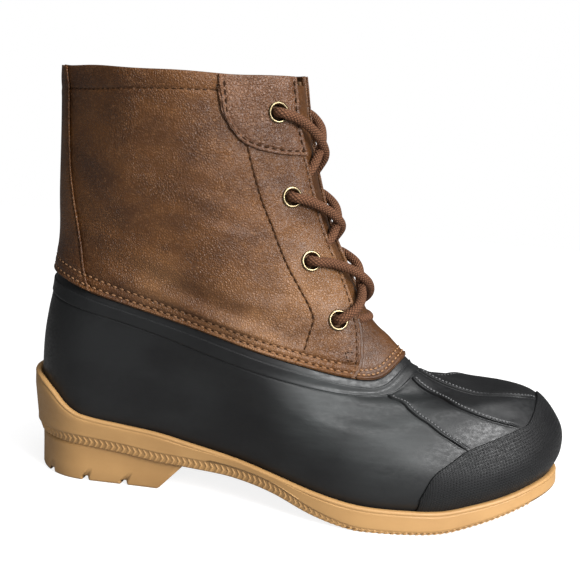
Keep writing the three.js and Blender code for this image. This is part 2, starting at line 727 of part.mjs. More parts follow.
function collarPatch(side) {
  const place = (angle, share, out) => {
    const v = mix(patchFoot(angle), COLLAR, share);
    const edge = throatEdge(v);
    const front = PATCH[0].angle;
    const rear = PATCH[PATCH.length - 1].angle;
    const turned = edge + ((angle - front) / (rear - front)) * (rear - edge);
    return offLast(v, side * degrees(turned), out);
  };
  const angles = [21, 29, 37, 44, 50, 56, 60, 62.5, 64.5];
  const patch = solid(sheet(
    side > 0 ? angles : angles.reverse(),
    steps(4),
    (angle, share) => place(angle, share, PATCH_OUT),
    (angle, share) => place(angle, share, PATCH_IN),
  ));
  return geometryOf(patch.subtract(eyeletHole(EYELETS[0].v, side * degrees(EYELETS[0].angle))));
}

// Back strip: half its angle round the heel by ring count
const STRIP = [
  { v: 6.02, half: 47 },
  { v: 6.70, half: 43 },
  { v: 7.40, half: 40.5 },
  { v: 8.00, half: 37.5 },
  { v: 8.50, half: 34 },
  { v: 9.00, half: 32.5 },
  { v: 9.60, half: 32.5 },
  { v: 9.70, half: 32.5 },
  { v: 10.0, half: 29 },
];

function backStrip() {
  const half = rowCurve(STRIP, 'v', 'half');
  const rows = [
    STRIP[0].v, ...shaftRows.slice(1), COLLAR_BAND - STEP_SPAN, COLLAR_BAND, COLLAR,
  ];
  const base = (v) => CURVED_GAP + (v < COLLAR_BAND - STEP_SPAN ? 0 : COLLAR_BAND_STEP);
  const place = (u, v, out) => offLast(v, Math.PI + degrees(u * half(v)), out);
  return sheet(
    steps(10, -1, 1),
    rows,
    (u, v) => place(u, v, base(v) + STRIP_THICKNESS),
    (u, v) => place(u, v, base(v)),
  );
}

// Tongue: over the shell at its base, then under both eyestays. out: its inner face off the last.
const TONGUE = [
  { v: 6.02, half: 39, out: -2.0 },
  { v: 6.30, half: 33, out: -2.0 },
  { v: 6.55, half: 29, out: -2.0 },
  { v: 6.65, half: 27, out: -2.4 },
  { v: 6.80, half: 24, out: -3.5 },
  { v: 6.95, half: 24, out: -4.2 },
  { v: 7.10, half: 32, out: -4.2 },
  { v: 7.50, half: 42, out: -4.2 },
  { v: 8.00, half: 44, out: -4.2 },
  { v: 8.70, half: 44, out: -4.2 },
  { v: 9.30, half: 44, out: -4.2 },
  { v: 9.88, half: 42, out: -4.2 },
];

function tongue() {
  const half = rowCurve(TONGUE, 'v', 'half');
  const place = (u, row, out) => offLast(row.v, degrees(u * half(row.v)), row.out + out);
  return sheet(
    steps(12, -1, 1),
    TONGUE,
    (u, row) => place(u, row, TONGUE_THICKNESS),
    (u, row) => place(u, row, 0),
  );
}

// Eyelet: a flange outside and a barrel through the wall
function eyelet() {
  const rim = EYELET_DIAMETER / 2;
  const bore = EYELET_BORE / 2;
  const barrel = EYELET_HOLE / 2 - GAP;
  const depth = LEATHER_WALL + EYESTAY_STEP;
  const profile = [
    [bore, -depth], [barrel, -depth], [barrel, 0], [rim, 0], [rim - 0.5, EYELET_FLANGE],
    [bore + 0.5, EYELET_FLANGE], [bore, -depth],
  ];
  return new THREE.LatheGeometry(profile.map(([r, y]) => new THREE.Vector2(r, y)), EYELET_SIDES);
}

// Lace crossings: strands over the throat, as shares of the way between eyelets
const laceRadius = LACE_DIAMETER / 2;
const LACE_OVER = EYESTAY_STEP + EYELET_FLANGE + laceRadius + 2 * GAP;
const LACE_THROAT = laceRadius - LEATHER_WALL;

function strand(top, bottom, side, last) {
  const ride = top === EYELETS[0] ? PATCH_OUT - EYESTAY_STEP : 0;
  const way = [
    { share: 0.02, across: 0.98, out: LACE_OVER + ride },
    { share: 0.12, across: 0.75, out: LACE_OVER + ride },
    { share: 0.30, across: 0.42, out: LACE_OVER + 0.2 },
    { share: 0.50, across: 0.00, out: LACE_OVER - 1 },
  ];
  if (last) {
    way.push({ share: 0.70, across: -0.42, out: LACE_OVER });
    way.push({ share: 0.88, across: -0.75, out: LACE_OVER });
    way.push({ share: 0.97, across: -0.98, out: LACE_OVER });
  } else {
    way.push({ share: 0.66, across: -0.32, out: LACE_THROAT + 1 });
  }
  const points = way.map(({ share, across, out }) => {
    const v = mix(top.v, bottom.v, share);
    const angle = across * mix(top.angle, bottom.angle, share);
    return offLast(v, side * degrees(angle), out);
  });
  const path = new THREE.CatmullRomCurve3(points);
  const section = new THREE.Shape();
  section.absarc(0, 0, laceRadius, 0, 2 * Math.PI, false);
  return new THREE.ExtrudeGeometry(section, {
    steps: last ? 14 : 10, curveSegments: LACE_SIDES / 2, extrudePath: path, bevelEnabled: false,
  });
}

add('outsole', outsole(), MATERIALS.gum);
add('insole', insole(), MATERIALS.footbed);
add('rubber_shell', rubberShell(), MATERIALS.rubber);
add('shaft', shaft(), MATERIALS.leather);
add('tongue', tongue(), MATERIALS.tongueLeather);
add('back_strip', backStrip(), MATERIALS.leather);
for (const [name, side] of [['lateral', -1], ['medial', 1]]) {
  add(`collar_patch_${name}`, collarPatch(side), MATERIALS.leather);
  for (const [i, { v, angle }] of EYELETS.entries()) {
    const out = (i === 0 ? PATCH_OUT : EYESTAY_STEP) + GAP;
    add(`eyelet_${name}_${i + 1}`, standOn(eyelet(), v, side * degrees(angle), out), MATERIALS.brass);
  }
}
for (let i = 0; i < EYELETS.length - 1; i += 1) {
  const last = i === EYELETS.length - 2;
  const one = solid(strand(EYELETS[i], EYELETS[i + 1], -1, last));
  const two = solid(strand(EYELETS[i], EYELETS[i + 1], 1, last));
  add(`lace_crossing_${i + 1}`, geometryOf(one.add(two)), MATERIALS.lace);
}

// The origin is the middle of the footprint, on the ground
const box = new THREE.Box3().setFromObject(group);
const centre = box.getCenter(new THREE.Vector3());
for (const mesh of group.children) mesh.geometry.translate(-centre.x, -centre.y, -box.min.z);

export default group;
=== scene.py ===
# %% [markdown]
# A duck boot, dressed over its engineering model. The boot has a brown leather shaft, a black moulded rubber
# foot and a tan gum sole. The engineering model gives every place and size, so this script first loads it as
# a fixed frame.

# %% Load the frame
import math

import bpy
import numpy as np
from mathutils import Matrix, Vector


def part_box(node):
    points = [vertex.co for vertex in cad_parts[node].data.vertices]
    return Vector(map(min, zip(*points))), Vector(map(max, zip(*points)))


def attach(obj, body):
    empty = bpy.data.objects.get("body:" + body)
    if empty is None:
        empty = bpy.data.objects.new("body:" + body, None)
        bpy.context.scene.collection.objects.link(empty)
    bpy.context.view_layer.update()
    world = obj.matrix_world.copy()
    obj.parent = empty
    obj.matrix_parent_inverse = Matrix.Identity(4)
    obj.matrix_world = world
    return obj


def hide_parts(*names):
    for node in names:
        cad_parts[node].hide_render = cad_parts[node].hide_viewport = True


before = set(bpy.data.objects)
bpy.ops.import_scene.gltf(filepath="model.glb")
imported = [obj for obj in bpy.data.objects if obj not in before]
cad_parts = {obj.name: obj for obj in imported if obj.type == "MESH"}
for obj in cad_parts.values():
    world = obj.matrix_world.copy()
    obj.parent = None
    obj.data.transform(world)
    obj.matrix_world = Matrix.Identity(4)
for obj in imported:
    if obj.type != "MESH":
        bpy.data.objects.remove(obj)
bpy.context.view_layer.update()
bpy.ops.object.select_all(action="DESELECT")
print("frame nodes:", len(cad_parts))

# %% [markdown]
# Every curved piece of a boot is drawn on a last, the solid form of a foot. Here the last is a smooth
# surface through eleven rings, each given by its ends, its heights and its half widths. A place on it
# has two numbers: v counts the rings from the footbed up, and the angle goes round, 0 at the toe and
# 180 degrees at the heel. Pieces that share the surface fit each other without any trial. Points could
# also be pulled by hand until the outline looks right, but then each piece would need its own pulling.

# %% Sizes of the last and the sole, in millimetres
MM = 0.001
LENGTH = 285.0
BALL_WIDTH = 98.0
HEEL_WIDTH = 70.0
SHAFT_WIDTH = 88.0
COLLAR_HEIGHT = 220.5
EDGE_BACK_HEIGHT = 112.5
EDGE_FRONT_HEIGHT = 80.0
TOE_SWING = 10.0
VAMP_TILT = 4.0
ARCH_INSET = 4.0
HEEL_LIFT = 25.0
SOLE_THICKNESS = 6.0
TOE_SPRING = 20.0
ARCH_HEIGHT = 15.0
RIM_RISE = 30.0
RIM_THICKNESS = 3.8
RIB_BAND_HEIGHT = 6.0
HEEL_TAPER = 4.5
GAP = 0.3
CURVED_GAP = 0.45
RUBBER_WALL = 2.5
INSOLE_INSET = RUBBER_WALL + 2 * GAP

# The sole along the foot: place, heel lift, toe spring, underside, rim, rib band, taper of the heel wall
SOLE_PROFILE = np.array([
    (0.00, 1.000, 0.00, 1.33, 1.000, 1.00, 1.0),
    (0.03, 1.000, 0.00, 1.35, 0.953, 1.00, 1.0),
    (0.06, 1.000, 0.00, 1.36, 0.813, 1.00, 1.0),
    (0.09, 1.000, 0.00, 1.36, 0.580, 1.00, 0.9),
    (0.12, 1.000, 0.00, 1.34, 0.440, 1.00, 0.8),
    (0.20, 1.000, 0.00, 1.22, 0.333, 1.00, 0.6),
    (0.27, 0.930, 0.00, 1.06, 0.302, 1.00, 0.5),
    (0.34, 0.790, 0.00, 1.00, 0.264, 1.00, 0.4),
    (0.42, 0.630, 0.00, 0.93, 0.237, 1.00, 0.3),
    (0.50, 0.447, 0.00, 0.70, 0.205, 1.00, 0.2),
    (0.58, 0.200, 0.00, 0.26, 0.215, 0.70, 0.1),
    (0.66, 0.020, 0.00, 0.00, 0.217, 0.40, 0.0),
    (0.74, 0.000, 0.00, 0.00, 0.200, 0.30, 0.0),
    (0.80, 0.000, 0.03, 0.00, 0.180, 0.30, 0.0),
    (0.85, 0.000, 0.20, 0.00, 0.153, 0.30, 0.0),
    (0.90, 0.000, 0.42, 0.00, 0.117, 0.30, 0.0),
    (0.95, 0.000, 0.68, 0.00, 0.093, 0.25, 0.0),
    (1.00, 0.000, 0.90, 0.00, 0.083, 0.20, 0.0),
])

# The rings: ends, heights at the stations, half widths at heel, waist, ball and toe, round ends, tilt
STATIONS = (0, 0.25, 0.5, 0.75, 0.88, 0.95, 1)
SECTIONS = (
    (0.007, 0.979, (0, 0, 0, 0, 0, 0, 0), (0.886, 0.871, 0.939, 0.837), (0.13, 0.26), 0),
    (-0.0035, 0.998, (0.12, 0.12, 0.12, 0.143, 0.159, 0.166, 0.213), (0.986, 0.971, 1, 0.918),
     (0.13, 0.26), 0),
    (-0.002, 0.9895, (0.40, 0.35, 0.32, 0.339, 0.355, 0.392, 0.47), (1, 0.986, 0.99, 0.898),
     (0.13, 0.28), 0.25),
    (0.002, 0.937, (0.58, 0.51, 0.46, 0.516, 0.655, 0.72, 0.757), (1, 0.971, 0.918, 0.857),
     (0.13, 0.40), 0.5),
    (0.009, 0.842, (0.73, 0.68, 0.61, 0.605, 0.725, 0.772, 0.778), (1, 0.986, 0.847, 0.785),
     (0.15, 0.50), 1),
    (0.017, 0.730, (0.858, 0.822, 0.762, 0.717, 0.721, 0.762, 0.902), (0.986, 1, 0.796, 0.735),
     (0.18, 0.45), 0.2),
    (0.022, 0.7035, (0.995, 0.952, 0.915, 0.86, 0.835, 0.861, 1), (0.784, 0.807, 0.864, 0.795),
     (0.22, 0.42), 0),
    (0.030, 0.642, (1.175, 1.159, 1.149, 1.169, 1.189, 1.192, 1.144), (0.773, 0.841, 0.852, 0.773),
     (0.30, 0.45), 0),
    (0.029, 0.561, (1.396, 1.413, 1.431, 1.466, 1.484, 1.482, 1.448), (0.75, 0.886, 0.898, 0.773),
     (0.35, 0.45), 0),
    (0.031, 0.5175, (1.719, 1.734, 1.744, 1.759, 1.766, 1.764, 1.747), (0.761, 0.955, 0.966, 0.795),
     (0.38, 0.45), 0),
    (0.031, 0.495, (2, 2, 2, 2, 2, 2, 2), (0.773, 0.989, 1, 0.807), (0.40, 0.45), 0),
)
VAMP, BAND_LINE, LEATHER_EDGE, COLLAR = 4, 5, 6, 10
OUTER_STATIONS = (0, 0.12, 0.40, 0.64, 0.86, 1)
INNER_STATIONS = (0, 0.12, 0.44, 0.72, 0.90, 1)
WAIST_STATION = 0.42
WAIST_SPREAD = 0.13
SWING_AT = (0, 0.2, 0.42, 0.65, 0.85, 1)
SWING = (0, 0, -0.15, -0.05, 0.45, 1)


# %% [markdown]
# A table of a few values is enough for a boot if a smooth curve runs through it. The curve here is made
# of cubic pieces whose slope at each value follows its neighbours, so nothing overshoots much and each
# value stays where it was put. The same curve is used along the rings and up through them.

# %% Curves through tables, and the surface of the last
def curve(at, values, where):
    """A smooth curve through a table's values, flat beyond its ends."""
    at = np.asarray(at, float)
    values = np.asarray(values, float)
    slope = np.empty_like(values)
    slope[1:-1] = (values[2:] - values[:-2]) / (at[2:] - at[:-2])
    slope[0] = (values[1] - values[0]) / (at[1] - at[0])
    slope[-1] = (values[-1] - values[-2]) / (at[-1] - at[-2])
    x = np.clip(where, at[0], at[-1])
    k = np.clip(np.searchsorted(at, x, side="right") - 1, 0, len(at) - 2)
    step = at[k + 1] - at[k]
    u = (x - at[k]) / step
    low = (2 * u**3 - 3 * u**2 + 1) * values[k] + (u**3 - 2 * u**2 + u) * step * slope[k]
    high = (3 * u**2 - 2 * u**3) * values[k + 1] + (u**3 - u**2) * step * slope[k + 1]
    return low + high


def profile(column, x):
    return curve(SOLE_PROFILE[:, 0], SOLE_PROFILE[:, column], x / LENGTH)


def footbed(x):
    return SOLE_THICKNESS + (HEEL_LIFT - SOLE_THICKNESS) * profile(1, x) + TOE_SPRING * profile(2, x)


def underside(x):
    return TOE_SPRING * profile(2, x) + ARCH_HEIGHT * np.maximum(profile(3, x), 0)


def rim_height(x):
    return footbed(x) + RIM_RISE * profile(4, x)


def round_end(share):
    s = np.clip(share, 0, 1)
    return np.sqrt(2 * s - s * s)


def edge_height(t):
    back, front, level = SECTIONS[LEATHER_EDGE][:3]
    low = footbed(LENGTH * (back + (front - back) * t)) + GAP
    line = EDGE_BACK_HEIGHT + (EDGE_FRONT_HEIGHT - EDGE_BACK_HEIGHT) * t
    return low + (line - low) * curve(STATIONS, level, t)


def ring_point(i, angle):
    """Points of one ring of the last, for an array of angles in radians."""
    back, front, level, half, rounds, tilt = SECTIONS[i]
    t = (1 + np.cos(angle)) / 2
    x = LENGTH * (back + (front - back) * t)
    height = curve(STATIONS, level, t)
    low = footbed(x) + GAP
    line = EDGE_BACK_HEIGHT + (EDGE_FRONT_HEIGHT - EDGE_BACK_HEIGHT) * t
    z = low + (line - low) * height + VAMP_TILT * tilt * np.sin(angle) * t * t
    if i > LEATHER_EDGE:
        edge = edge_height(t)
        z = edge + (COLLAR_HEIGHT - edge) * (height - 1)
    foot = np.array((HEEL_WIDTH, HEEL_WIDTH, BALL_WIDTH, BALL_WIDTH))
    widths = foot if i <= BAND_LINE else np.full(4, SHAFT_WIDTH)
    halves = np.array(half) * widths / 2
    halves = np.concatenate((halves[:1], halves, halves[-1:]))
    inner = np.sin(angle) > 0
    wide = np.where(inner, curve(INNER_STATIONS, halves, t), curve(OUTER_STATIONS, halves, t))
    if i < VAMP:
        waist = np.exp(-(((t - WAIST_STATION) / WAIST_SPREAD) ** 2))
        wide = wide - np.where(inner, ARCH_INSET * (1 - i / VAMP) * waist, 0)
    ends = round_end(t / rounds[0]) * round_end((1 - t) / rounds[1])
    y = TOE_SWING * curve(SWING_AT, SWING, x / LENGTH) + np.where(inner, 1, -1) * wide * ends
    return np.stack((x, y, z), axis=-1)


def last_point(v, angle):
    """Points of the last in millimetres, for arrays of ring counts and angles."""
    v, angle = np.broadcast_arrays(np.asarray(v, float), np.asarray(angle, float))
    rings = [ring_point(i, angle) for i in range(len(SECTIONS))]
    rings = [2 * rings[0] - rings[1], *rings, 2 * rings[-1] - rings[-2]]
    rings = np.stack(rings)
    k = np.clip(np.floor(v), 0, len(SECTIONS) - 2).astype(int)
    u = (v - k)[..., None]

    def pick(offset):
        index = np.broadcast_to((k + offset)[None, ..., None], (1, *v.shape, 3))
        return np.take_along_axis(rings, index, axis=0)[0]

    a, b, c, d = (pick(offset) for offset in range(4))
    bend = (2 * a - 5 * b + 4 * c - d) * u**2 + (3 * b - a - 3 * c + d) * u**3
    return 0.5 * (2 * b + (c - a) * u + bend)


PROBE = 0.02


def last_normal(v, angle):
    v, angle = np.broadcast_arrays(np.asarray(v, float), np.asarray(angle, float))
    round_way = last_point(v, angle + PROBE) - last_point(v, angle - PROBE)
    up_way = last_point(v + PROBE, angle) - last_point(v - PROBE, angle)
    normal = np.cross(round_way, up_way)
    return normal / np.linalg.norm(normal, axis=-1, keepdims=True)


def off_last(v, angle, out):
    """Points on or off the last, out along its normal by millimetres."""
    return last_point(v, angle) + last_normal(v, angle) * np.asarray(out, float)[..., None]


def rim_level(angle):
    """The ring count at which the sole's rim crosses a column of the last."""
    low = np.zeros_like(angle)
    high = np.full_like(angle, VAMP)
    for _ in range(30):
        middle = (low + high) / 2
        point = last_point(middle, angle)
        below = point[..., 2] < rim_height(point[..., 0])
        low = np.where(below, middle, low)
        high = np.where(below, high, middle)
    return (low + high) / 2


# %% [markdown]
# The frame puts its origin in the middle of the footprint, while the last starts at the heel. The
# insole is one ring of the last, so the difference between its box and that ring is the shift that
# takes a point of the last to its place in the frame.

# %% From the last to the frame
CAD_COLUMNS = 48
cad_angles = np.arange(CAD_COLUMNS) * 2 * np.pi / CAD_COLUMNS
insole_ring = off_last(0.0, cad_angles, np.full(CAD_COLUMNS, -INSOLE_INSET))
insole_low, insole_high = (np.array(corner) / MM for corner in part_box("insole"))
SHIFT = np.zeros(3)
SHIFT[:2] = insole_low[:2] - insole_ring.min(axis=0)[:2]


def in_frame(points):
    """Millimetres on the last to metres in the frame."""
    return (np.asarray(points, float) + SHIFT) * MM


print("shift to the frame, mm:", SHIFT.round(3))

# %% [markdown]
# The camera stands where the photographer stood: in front of the outer side, a little towards the
# toe and looking down slightly. Its place and turns are real sizes, found by matching the outlines
# of heel, sole and collar. A camera looks along its own minus Z, with its own Y up.

# %% Camera
CAMERA_PLACE = np.array((249.28, -552.26, 219.98))
CAMERA_YAW = math.radians(11.497)
CAMERA_PITCH = math.radians(11.180)
CAMERA_ROLL = math.radians(3.051)
CAMERA_LENS = 66.76
CAMERA_SENSOR = 36.0


def camera_matrix():
    forward = Vector((
        -math.sin(CAMERA_YAW) * math.cos(CAMERA_PITCH),
        math.cos(CAMERA_YAW) * math.cos(CAMERA_PITCH),
        -math.sin(CAMERA_PITCH),
    ))
    level = Vector((math.cos(CAMERA_YAW), math.sin(CAMERA_YAW), 0))
    upright = level.cross(forward)
    right = math.cos(CAMERA_ROLL) * level + math.sin(CAMERA_ROLL) * upright
    up = -math.sin(CAMERA_ROLL) * level + math.cos(CAMERA_ROLL) * upright
    turn = Matrix((right, up, -forward)).transposed().to_4x4()
    return Matrix.Translation(Vector(in_frame(CAMERA_PLACE))) @ turn


bpy.ops.object.camera_add()
camera = bpy.context.object
camera.name = "camera"
camera.data.lens = CAMERA_LENS
camera.data.sensor_width = CAMERA_SENSOR
camera.matrix_world = camera_matrix()
bpy.context.scene.camera = camera
print("camera at:", [round(v, 3) for v in camera.location])

# %% [markdown]
# Product pictures are lit by large soft sources, so that rubber and leather show broad highlights
# and no hard shadows. A pale floor takes a faint shadow, which sets the boot on the ground. The world
# is white where the camera sees it and dimmer as a light, so that the lamps shape the boot.

# %% Floor, lights and world
FLOOR_SIZE = 2.0
FLOOR_GLOW = 0.85
AMBIENT = 0.13
# Name, place and aim in metres, width and height in metres, power in watts
LIGHTS = (
    ("light_top", (0.35, -0.25, 1.2), (0.0, 0.0, 0.1), (0.9, 0.7), 13),
    ("light_front", (0.1, -1.4, 0.6), (0.0, 0.0, 0.1), (0.9, 0.6), 3.5),
    ("light_toe", (1.0, -0.75, 0.65), (0.05, 0.0, 0.1), (0.5, 0.6), 31),
)


def add_light(name, place, aim, size, power):
    """An area light at a place in metres that faces another place."""
    bpy.ops.object.light_add(type="AREA", location=place)
    light = bpy.context.object
    light.name = name
    light.data.shape = "RECTANGLE"
    light.data.size = size[0]
    light.data.size_y = size[1]
    light.data.energy = power
    light.rotation_euler = (Vector(aim) - Vector(place)).to_track_quat("-Z", "Y").to_euler()
    return light


def plain_material(name, color, roughness):
    material = bpy.data.materials.new(name)
    material.use_nodes = True
    shader = material.node_tree.nodes["Principled BSDF"]
    shader.inputs["Base Color"].default_value = (*color, 1)
    shader.inputs["Roughness"].default_value = roughness
    return material


bpy.ops.mesh.primitive_plane_add(size=FLOOR_SIZE)
floor = bpy.context.object
floor.name = "floor"
pale = plain_material("pale floor", (0.35, 0.35, 0.35), 0.9)
pale_shader = pale.node_tree.nodes["Principled BSDF"]
pale_shader.inputs["Emission Color"].default_value = (1, 1, 1, 1)
seen_floor = pale.node_tree.nodes.new("ShaderNodeLightPath").outputs["Is Camera Ray"]
glow = pale.node_tree.nodes.new("ShaderNodeMath")
glow.operation = "MULTIPLY"
glow.inputs[1].default_value = FLOOR_GLOW
pale.node_tree.links.new(seen_floor, glow.inputs[0])
pale.node_tree.links.new(glow.outputs[0], pale_shader.inputs["Emission Strength"])
floor.data.materials.append(pale)

for light_values in LIGHTS:
    add_light(*light_values)

world = bpy.data.worlds.new("white studio")
bpy.context.scene.world = world
world.use_nodes = True
world_tree = world.node_tree
sky = world_tree.nodes["Background"]
sky.inputs["Color"].default_value = (1, 1, 1, 1)
seen = world_tree.nodes.new("ShaderNodeLightPath").outputs["Is Camera Ray"]
strength = world_tree.nodes.new("ShaderNodeMapRange")
strength.inputs["To Min"].default_value = AMBIENT
strength.inputs["To Max"].default_value = 1.0
world_tree.links.new(seen, strength.inputs["Value"])
world_tree.links.new(strength.outputs[0], sky.inputs["Strength"])
bpy.context.scene.view_settings.view_transform = "Standard"
print("lights and floor ready")

# %% [markdown]
# Every finish is a small network of procedural nodes, so it needs no image. Patterns read the
# object's own coordinates in metres, or the map in millimetres that each piece carries. A few short
# helpers add a node, set it and link it, which keeps each finish readable as a list of steps.

# %% Node helpers
def add_node(tree, kind, inputs=None, **settings):
    """A node with its settings, whose inputs are values or other nodes' outputs."""
    node = tree.nodes.new(kind)
    for key, value in settings.items():
        setattr(node, key, value)
    for key, value in (inputs or {}).items():
        if isinstance(value, bpy.types.NodeSocket):
            tree.links.new(value, node.inputs[key])
        else:
            node.inputs[key].default_value = value
    return node


def math_node(tree, operation, *values):
    return add_node(tree, "ShaderNodeMath", dict(enumerate(values)), operation=operation).outputs[0]


def map_range(tree, value, low, high, to_low=0.0, to_high=1.0):
    inputs = {"Value": value, "From Min": low, "From Max": high, "To Min": to_low, "To Max": to_high}
    return add_node(tree, "ShaderNodeMapRange", inputs, interpolation_type="SMOOTHSTEP").outputs[0]


def mix_color(tree, factor, first, second, blend="MIX"):
    node = add_node(tree, "ShaderNodeMix", data_type="RGBA", blend_type=blend)
    for index, value in ((0, factor), (6, first), (7, second)):
        if isinstance(value, bpy.types.NodeSocket):
            tree.links.new(value, node.inputs[index])
        else:
            node.inputs[index].default_value = (*value, 1) if index else value
    return node.outputs[2]


def own_place(tree, stretch=(1, 1, 1)):
    place = add_node(tree, "ShaderNodeTexCoord").outputs["Object"]
    return add_node(tree, "ShaderNodeMapping", {"Vector": place, "Scale": stretch}).outputs[0]


def noise(tree, place, scale, detail=3.0, roughness=0.55):
    inputs = {"Vector": place, "Scale": scale, "Detail": detail, "Roughness": roughness}
    return add_node(tree, "ShaderNodeTexNoise", inputs).outputs["Fac"]


def new_group(name, inputs, outputs):
    """An empty node group with number inputs and the named outputs."""
    group = bpy.data.node_groups.new(name, "ShaderNodeTree")
    for label, value in inputs.items():
        socket = group.interface.new_socket(label, in_out="INPUT", socket_type="NodeSocketFloat")
        socket.default_value = value
    for label, kind in outputs.items():
        group.interface.new_socket(label, in_out="OUTPUT", socket_type=kind)
    return group, group.nodes.new("NodeGroupInput").outputs, group.nodes.new("NodeGroupOutput").inputs


def use_group(tree, group, **inputs):
    node = add_node(tree, "ShaderNodeGroup", node_tree=group)
    for key, value in inputs.items():
        node.inputs[key].default_value = value
    return node.outputs


def new_finish(name, **values):
    """A material whose shader has the given constant values."""
    material = bpy.data.materials.new(name)
    material.use_nodes = True
    shader = material.node_tree.nodes["Principled BSDF"]
    for key, value in values.items():
        shader.inputs[key.replace("_", " ")].default_value = value
    return material, material.node_tree, shader


# %% [markdown]
# Three effects are used by several finishes, so each is a node group that is built once and gets its
# own values in every material. The leather grain is a warped cell pattern whose cells rise as pebbles.
# The clouds are soft patches of two tones. The soft zone is a round mask about a place on the boot, for the
# painted highlights on the leather and the painted reflection on the rubber. It reads the side's distance
# without its sign, so both sides match.

# %% Effects that finishes share
WARP = (0.0012, 0.0012, 0.0012)
FLAT_PEBBLE = 0.32

grain, grain_in, grain_out = new_group(
    "leather grain", {"Cells": 900.0, "Height": 0.15},
    {"Normal": "NodeSocketVector", "Valley": "NodeSocketFloat"},
)
cells_place = own_place(grain)
warp = add_node(grain, "ShaderNodeTexNoise", {"Vector": cells_place, "Scale": 600.0, "Detail": 2.0})
warped = add_node(
    grain, "ShaderNodeVectorMath", {0: warp.outputs["Color"], 1: WARP, 2: cells_place},
    operation="MULTIPLY_ADD",
)
cells = add_node(
    grain, "ShaderNodeTexVoronoi", {"Vector": warped.outputs[0], "Scale": grain_in["Cells"]},
    feature="DISTANCE_TO_EDGE",
)
pebble = map_range(grain, cells.outputs["Distance"], 0.0, FLAT_PEBBLE)
fine = noise(grain, cells_place, 3200.0)
patchy = map_range(grain, noise(grain, cells_place, 45.0), 0.35, 0.65, 0.45, 1.0)
height = math_node(grain, "MULTIPLY_ADD", fine, 0.35, math_node(grain, "MULTIPLY", pebble, patchy))
height_mm = math_node(grain, "MULTIPLY", height, grain_in["Height"])
bump = add_node(grain, "ShaderNodeBump", {"Height": height_mm, "Distance": MM, "Strength": 1.0})
grain.links.new(bump.outputs[0], grain_out["Normal"])
grain.links.new(math_node(grain, "SUBTRACT", 1.0, pebble), grain_out["Valley"])

clouds, clouds_in, clouds_out = new_group(
    "clouds", {"Size": 30.0, "Contrast": 0.2}, {"Mask": "NodeSocketFloat", "Fine": "NodeSocketFloat"},
)
cloud_place = own_place(clouds, (1, 1, 1.7))
cloud = noise(clouds, cloud_place, clouds_in["Size"], 5.0, 0.6)
low = math_node(clouds, "SUBTRACT", 0.5, clouds_in["Contrast"])
high = math_node(clouds, "ADD", 0.5, clouds_in["Contrast"])
clouds.links.new(map_range(clouds, cloud, low, high), clouds_out["Mask"])
clouds.links.new(noise(clouds, cloud_place, 420.0, 4.0, 0.65), clouds_out["Fine"])

zone, zone_in, zone_out = new_group(
    "soft zone", {"X": 0.0, "Side": 0.03, "Z": 0.1, "Radius": 0.04}, {"Mask": "NodeSocketFloat"},
)
zone_place = add_node(zone, "ShaderNodeSeparateXYZ", {0: own_place(zone)}).outputs
side_place = math_node(zone, "ABSOLUTE", zone_place[1])
own = add_node(zone, "ShaderNodeCombineXYZ", {0: zone_place[0], 1: side_place, 2: zone_place[2]}).outputs[0]
spot = add_node(
    zone, "ShaderNodeCombineXYZ", {0: zone_in["X"], 1: zone_in["Side"], 2: zone_in["Z"]},
).outputs[0]
apart = add_node(zone, "ShaderNodeVectorMath", {0: own, 1: spot}, operation="DISTANCE").outputs["Value"]
share_apart = math_node(zone, "DIVIDE", apart, zone_in["Radius"])
zone.links.new(map_range(zone, share_apart, 1.0, 0.0), zone_out["Mask"])


def use_zone(tree, v, degrees, radius_mm):
    """A soft round mask about a place on the last, the same on both sides of the boot."""
    x, y, z = in_frame(last_point(v, math.radians(degrees)))
    return use_group(tree, zone, X=x, Side=abs(y), Z=z, Radius=radius_mm * MM)["Mask"]


def use_zones(tree, places):
    """The strongest of several soft masks."""
    mask, *others = [use_zone(tree, *place) for place in places]
    for other in others:
        mask = math_node(tree, "MAXIMUM", mask, other)
    return mask


print("node groups:", len(bpy.data.node_groups))

# %% [markdown]
# The shaft is waxed leather that is pulled over folds. On the folds and at the eyestay a painted highlight
# lightens its colour, and there its roughness is lower, so it looks shinier. The leather is darker between
# the pebbles of the grain. An image of leather would repeat and would have to be unwrapped, so the tones are
# mixed from the shared effects. Each leather has three tones, the count of grain cells in a metre, the
# grain's height in millimetres and its roughness.

# %% Leather
LEATHER_TONES = {
    "shaft leather": (
        (0.056, 0.020, 0.0050), (0.126, 0.049, 0.0120), (0.27, 0.133, 0.055), 760.0, 0.30, 0.40,
    ),
    "patch leather": (
        (0.070, 0.029, 0.0125), (0.150, 0.068, 0.032), (0.28, 0.155, 0.085), 620.0, 0.42, 0.34,
    ),
    "tongue leather": (
        (0.042, 0.0155, 0.0045), (0.098, 0.038, 0.0100), (0.165, 0.074, 0.025), 1300.0, 0.12, 0.38,
    ),
}
# Where a painted highlight lightens the leather: level, angle in degrees, radius in millimetres
HIGHLIGHT_ZONES = ((6.35, -72, 46), (7.4, -38, 42), (6.80, -104, 27))
WORN_SHARE = 0.55
VALLEY_SHARE = 0.45


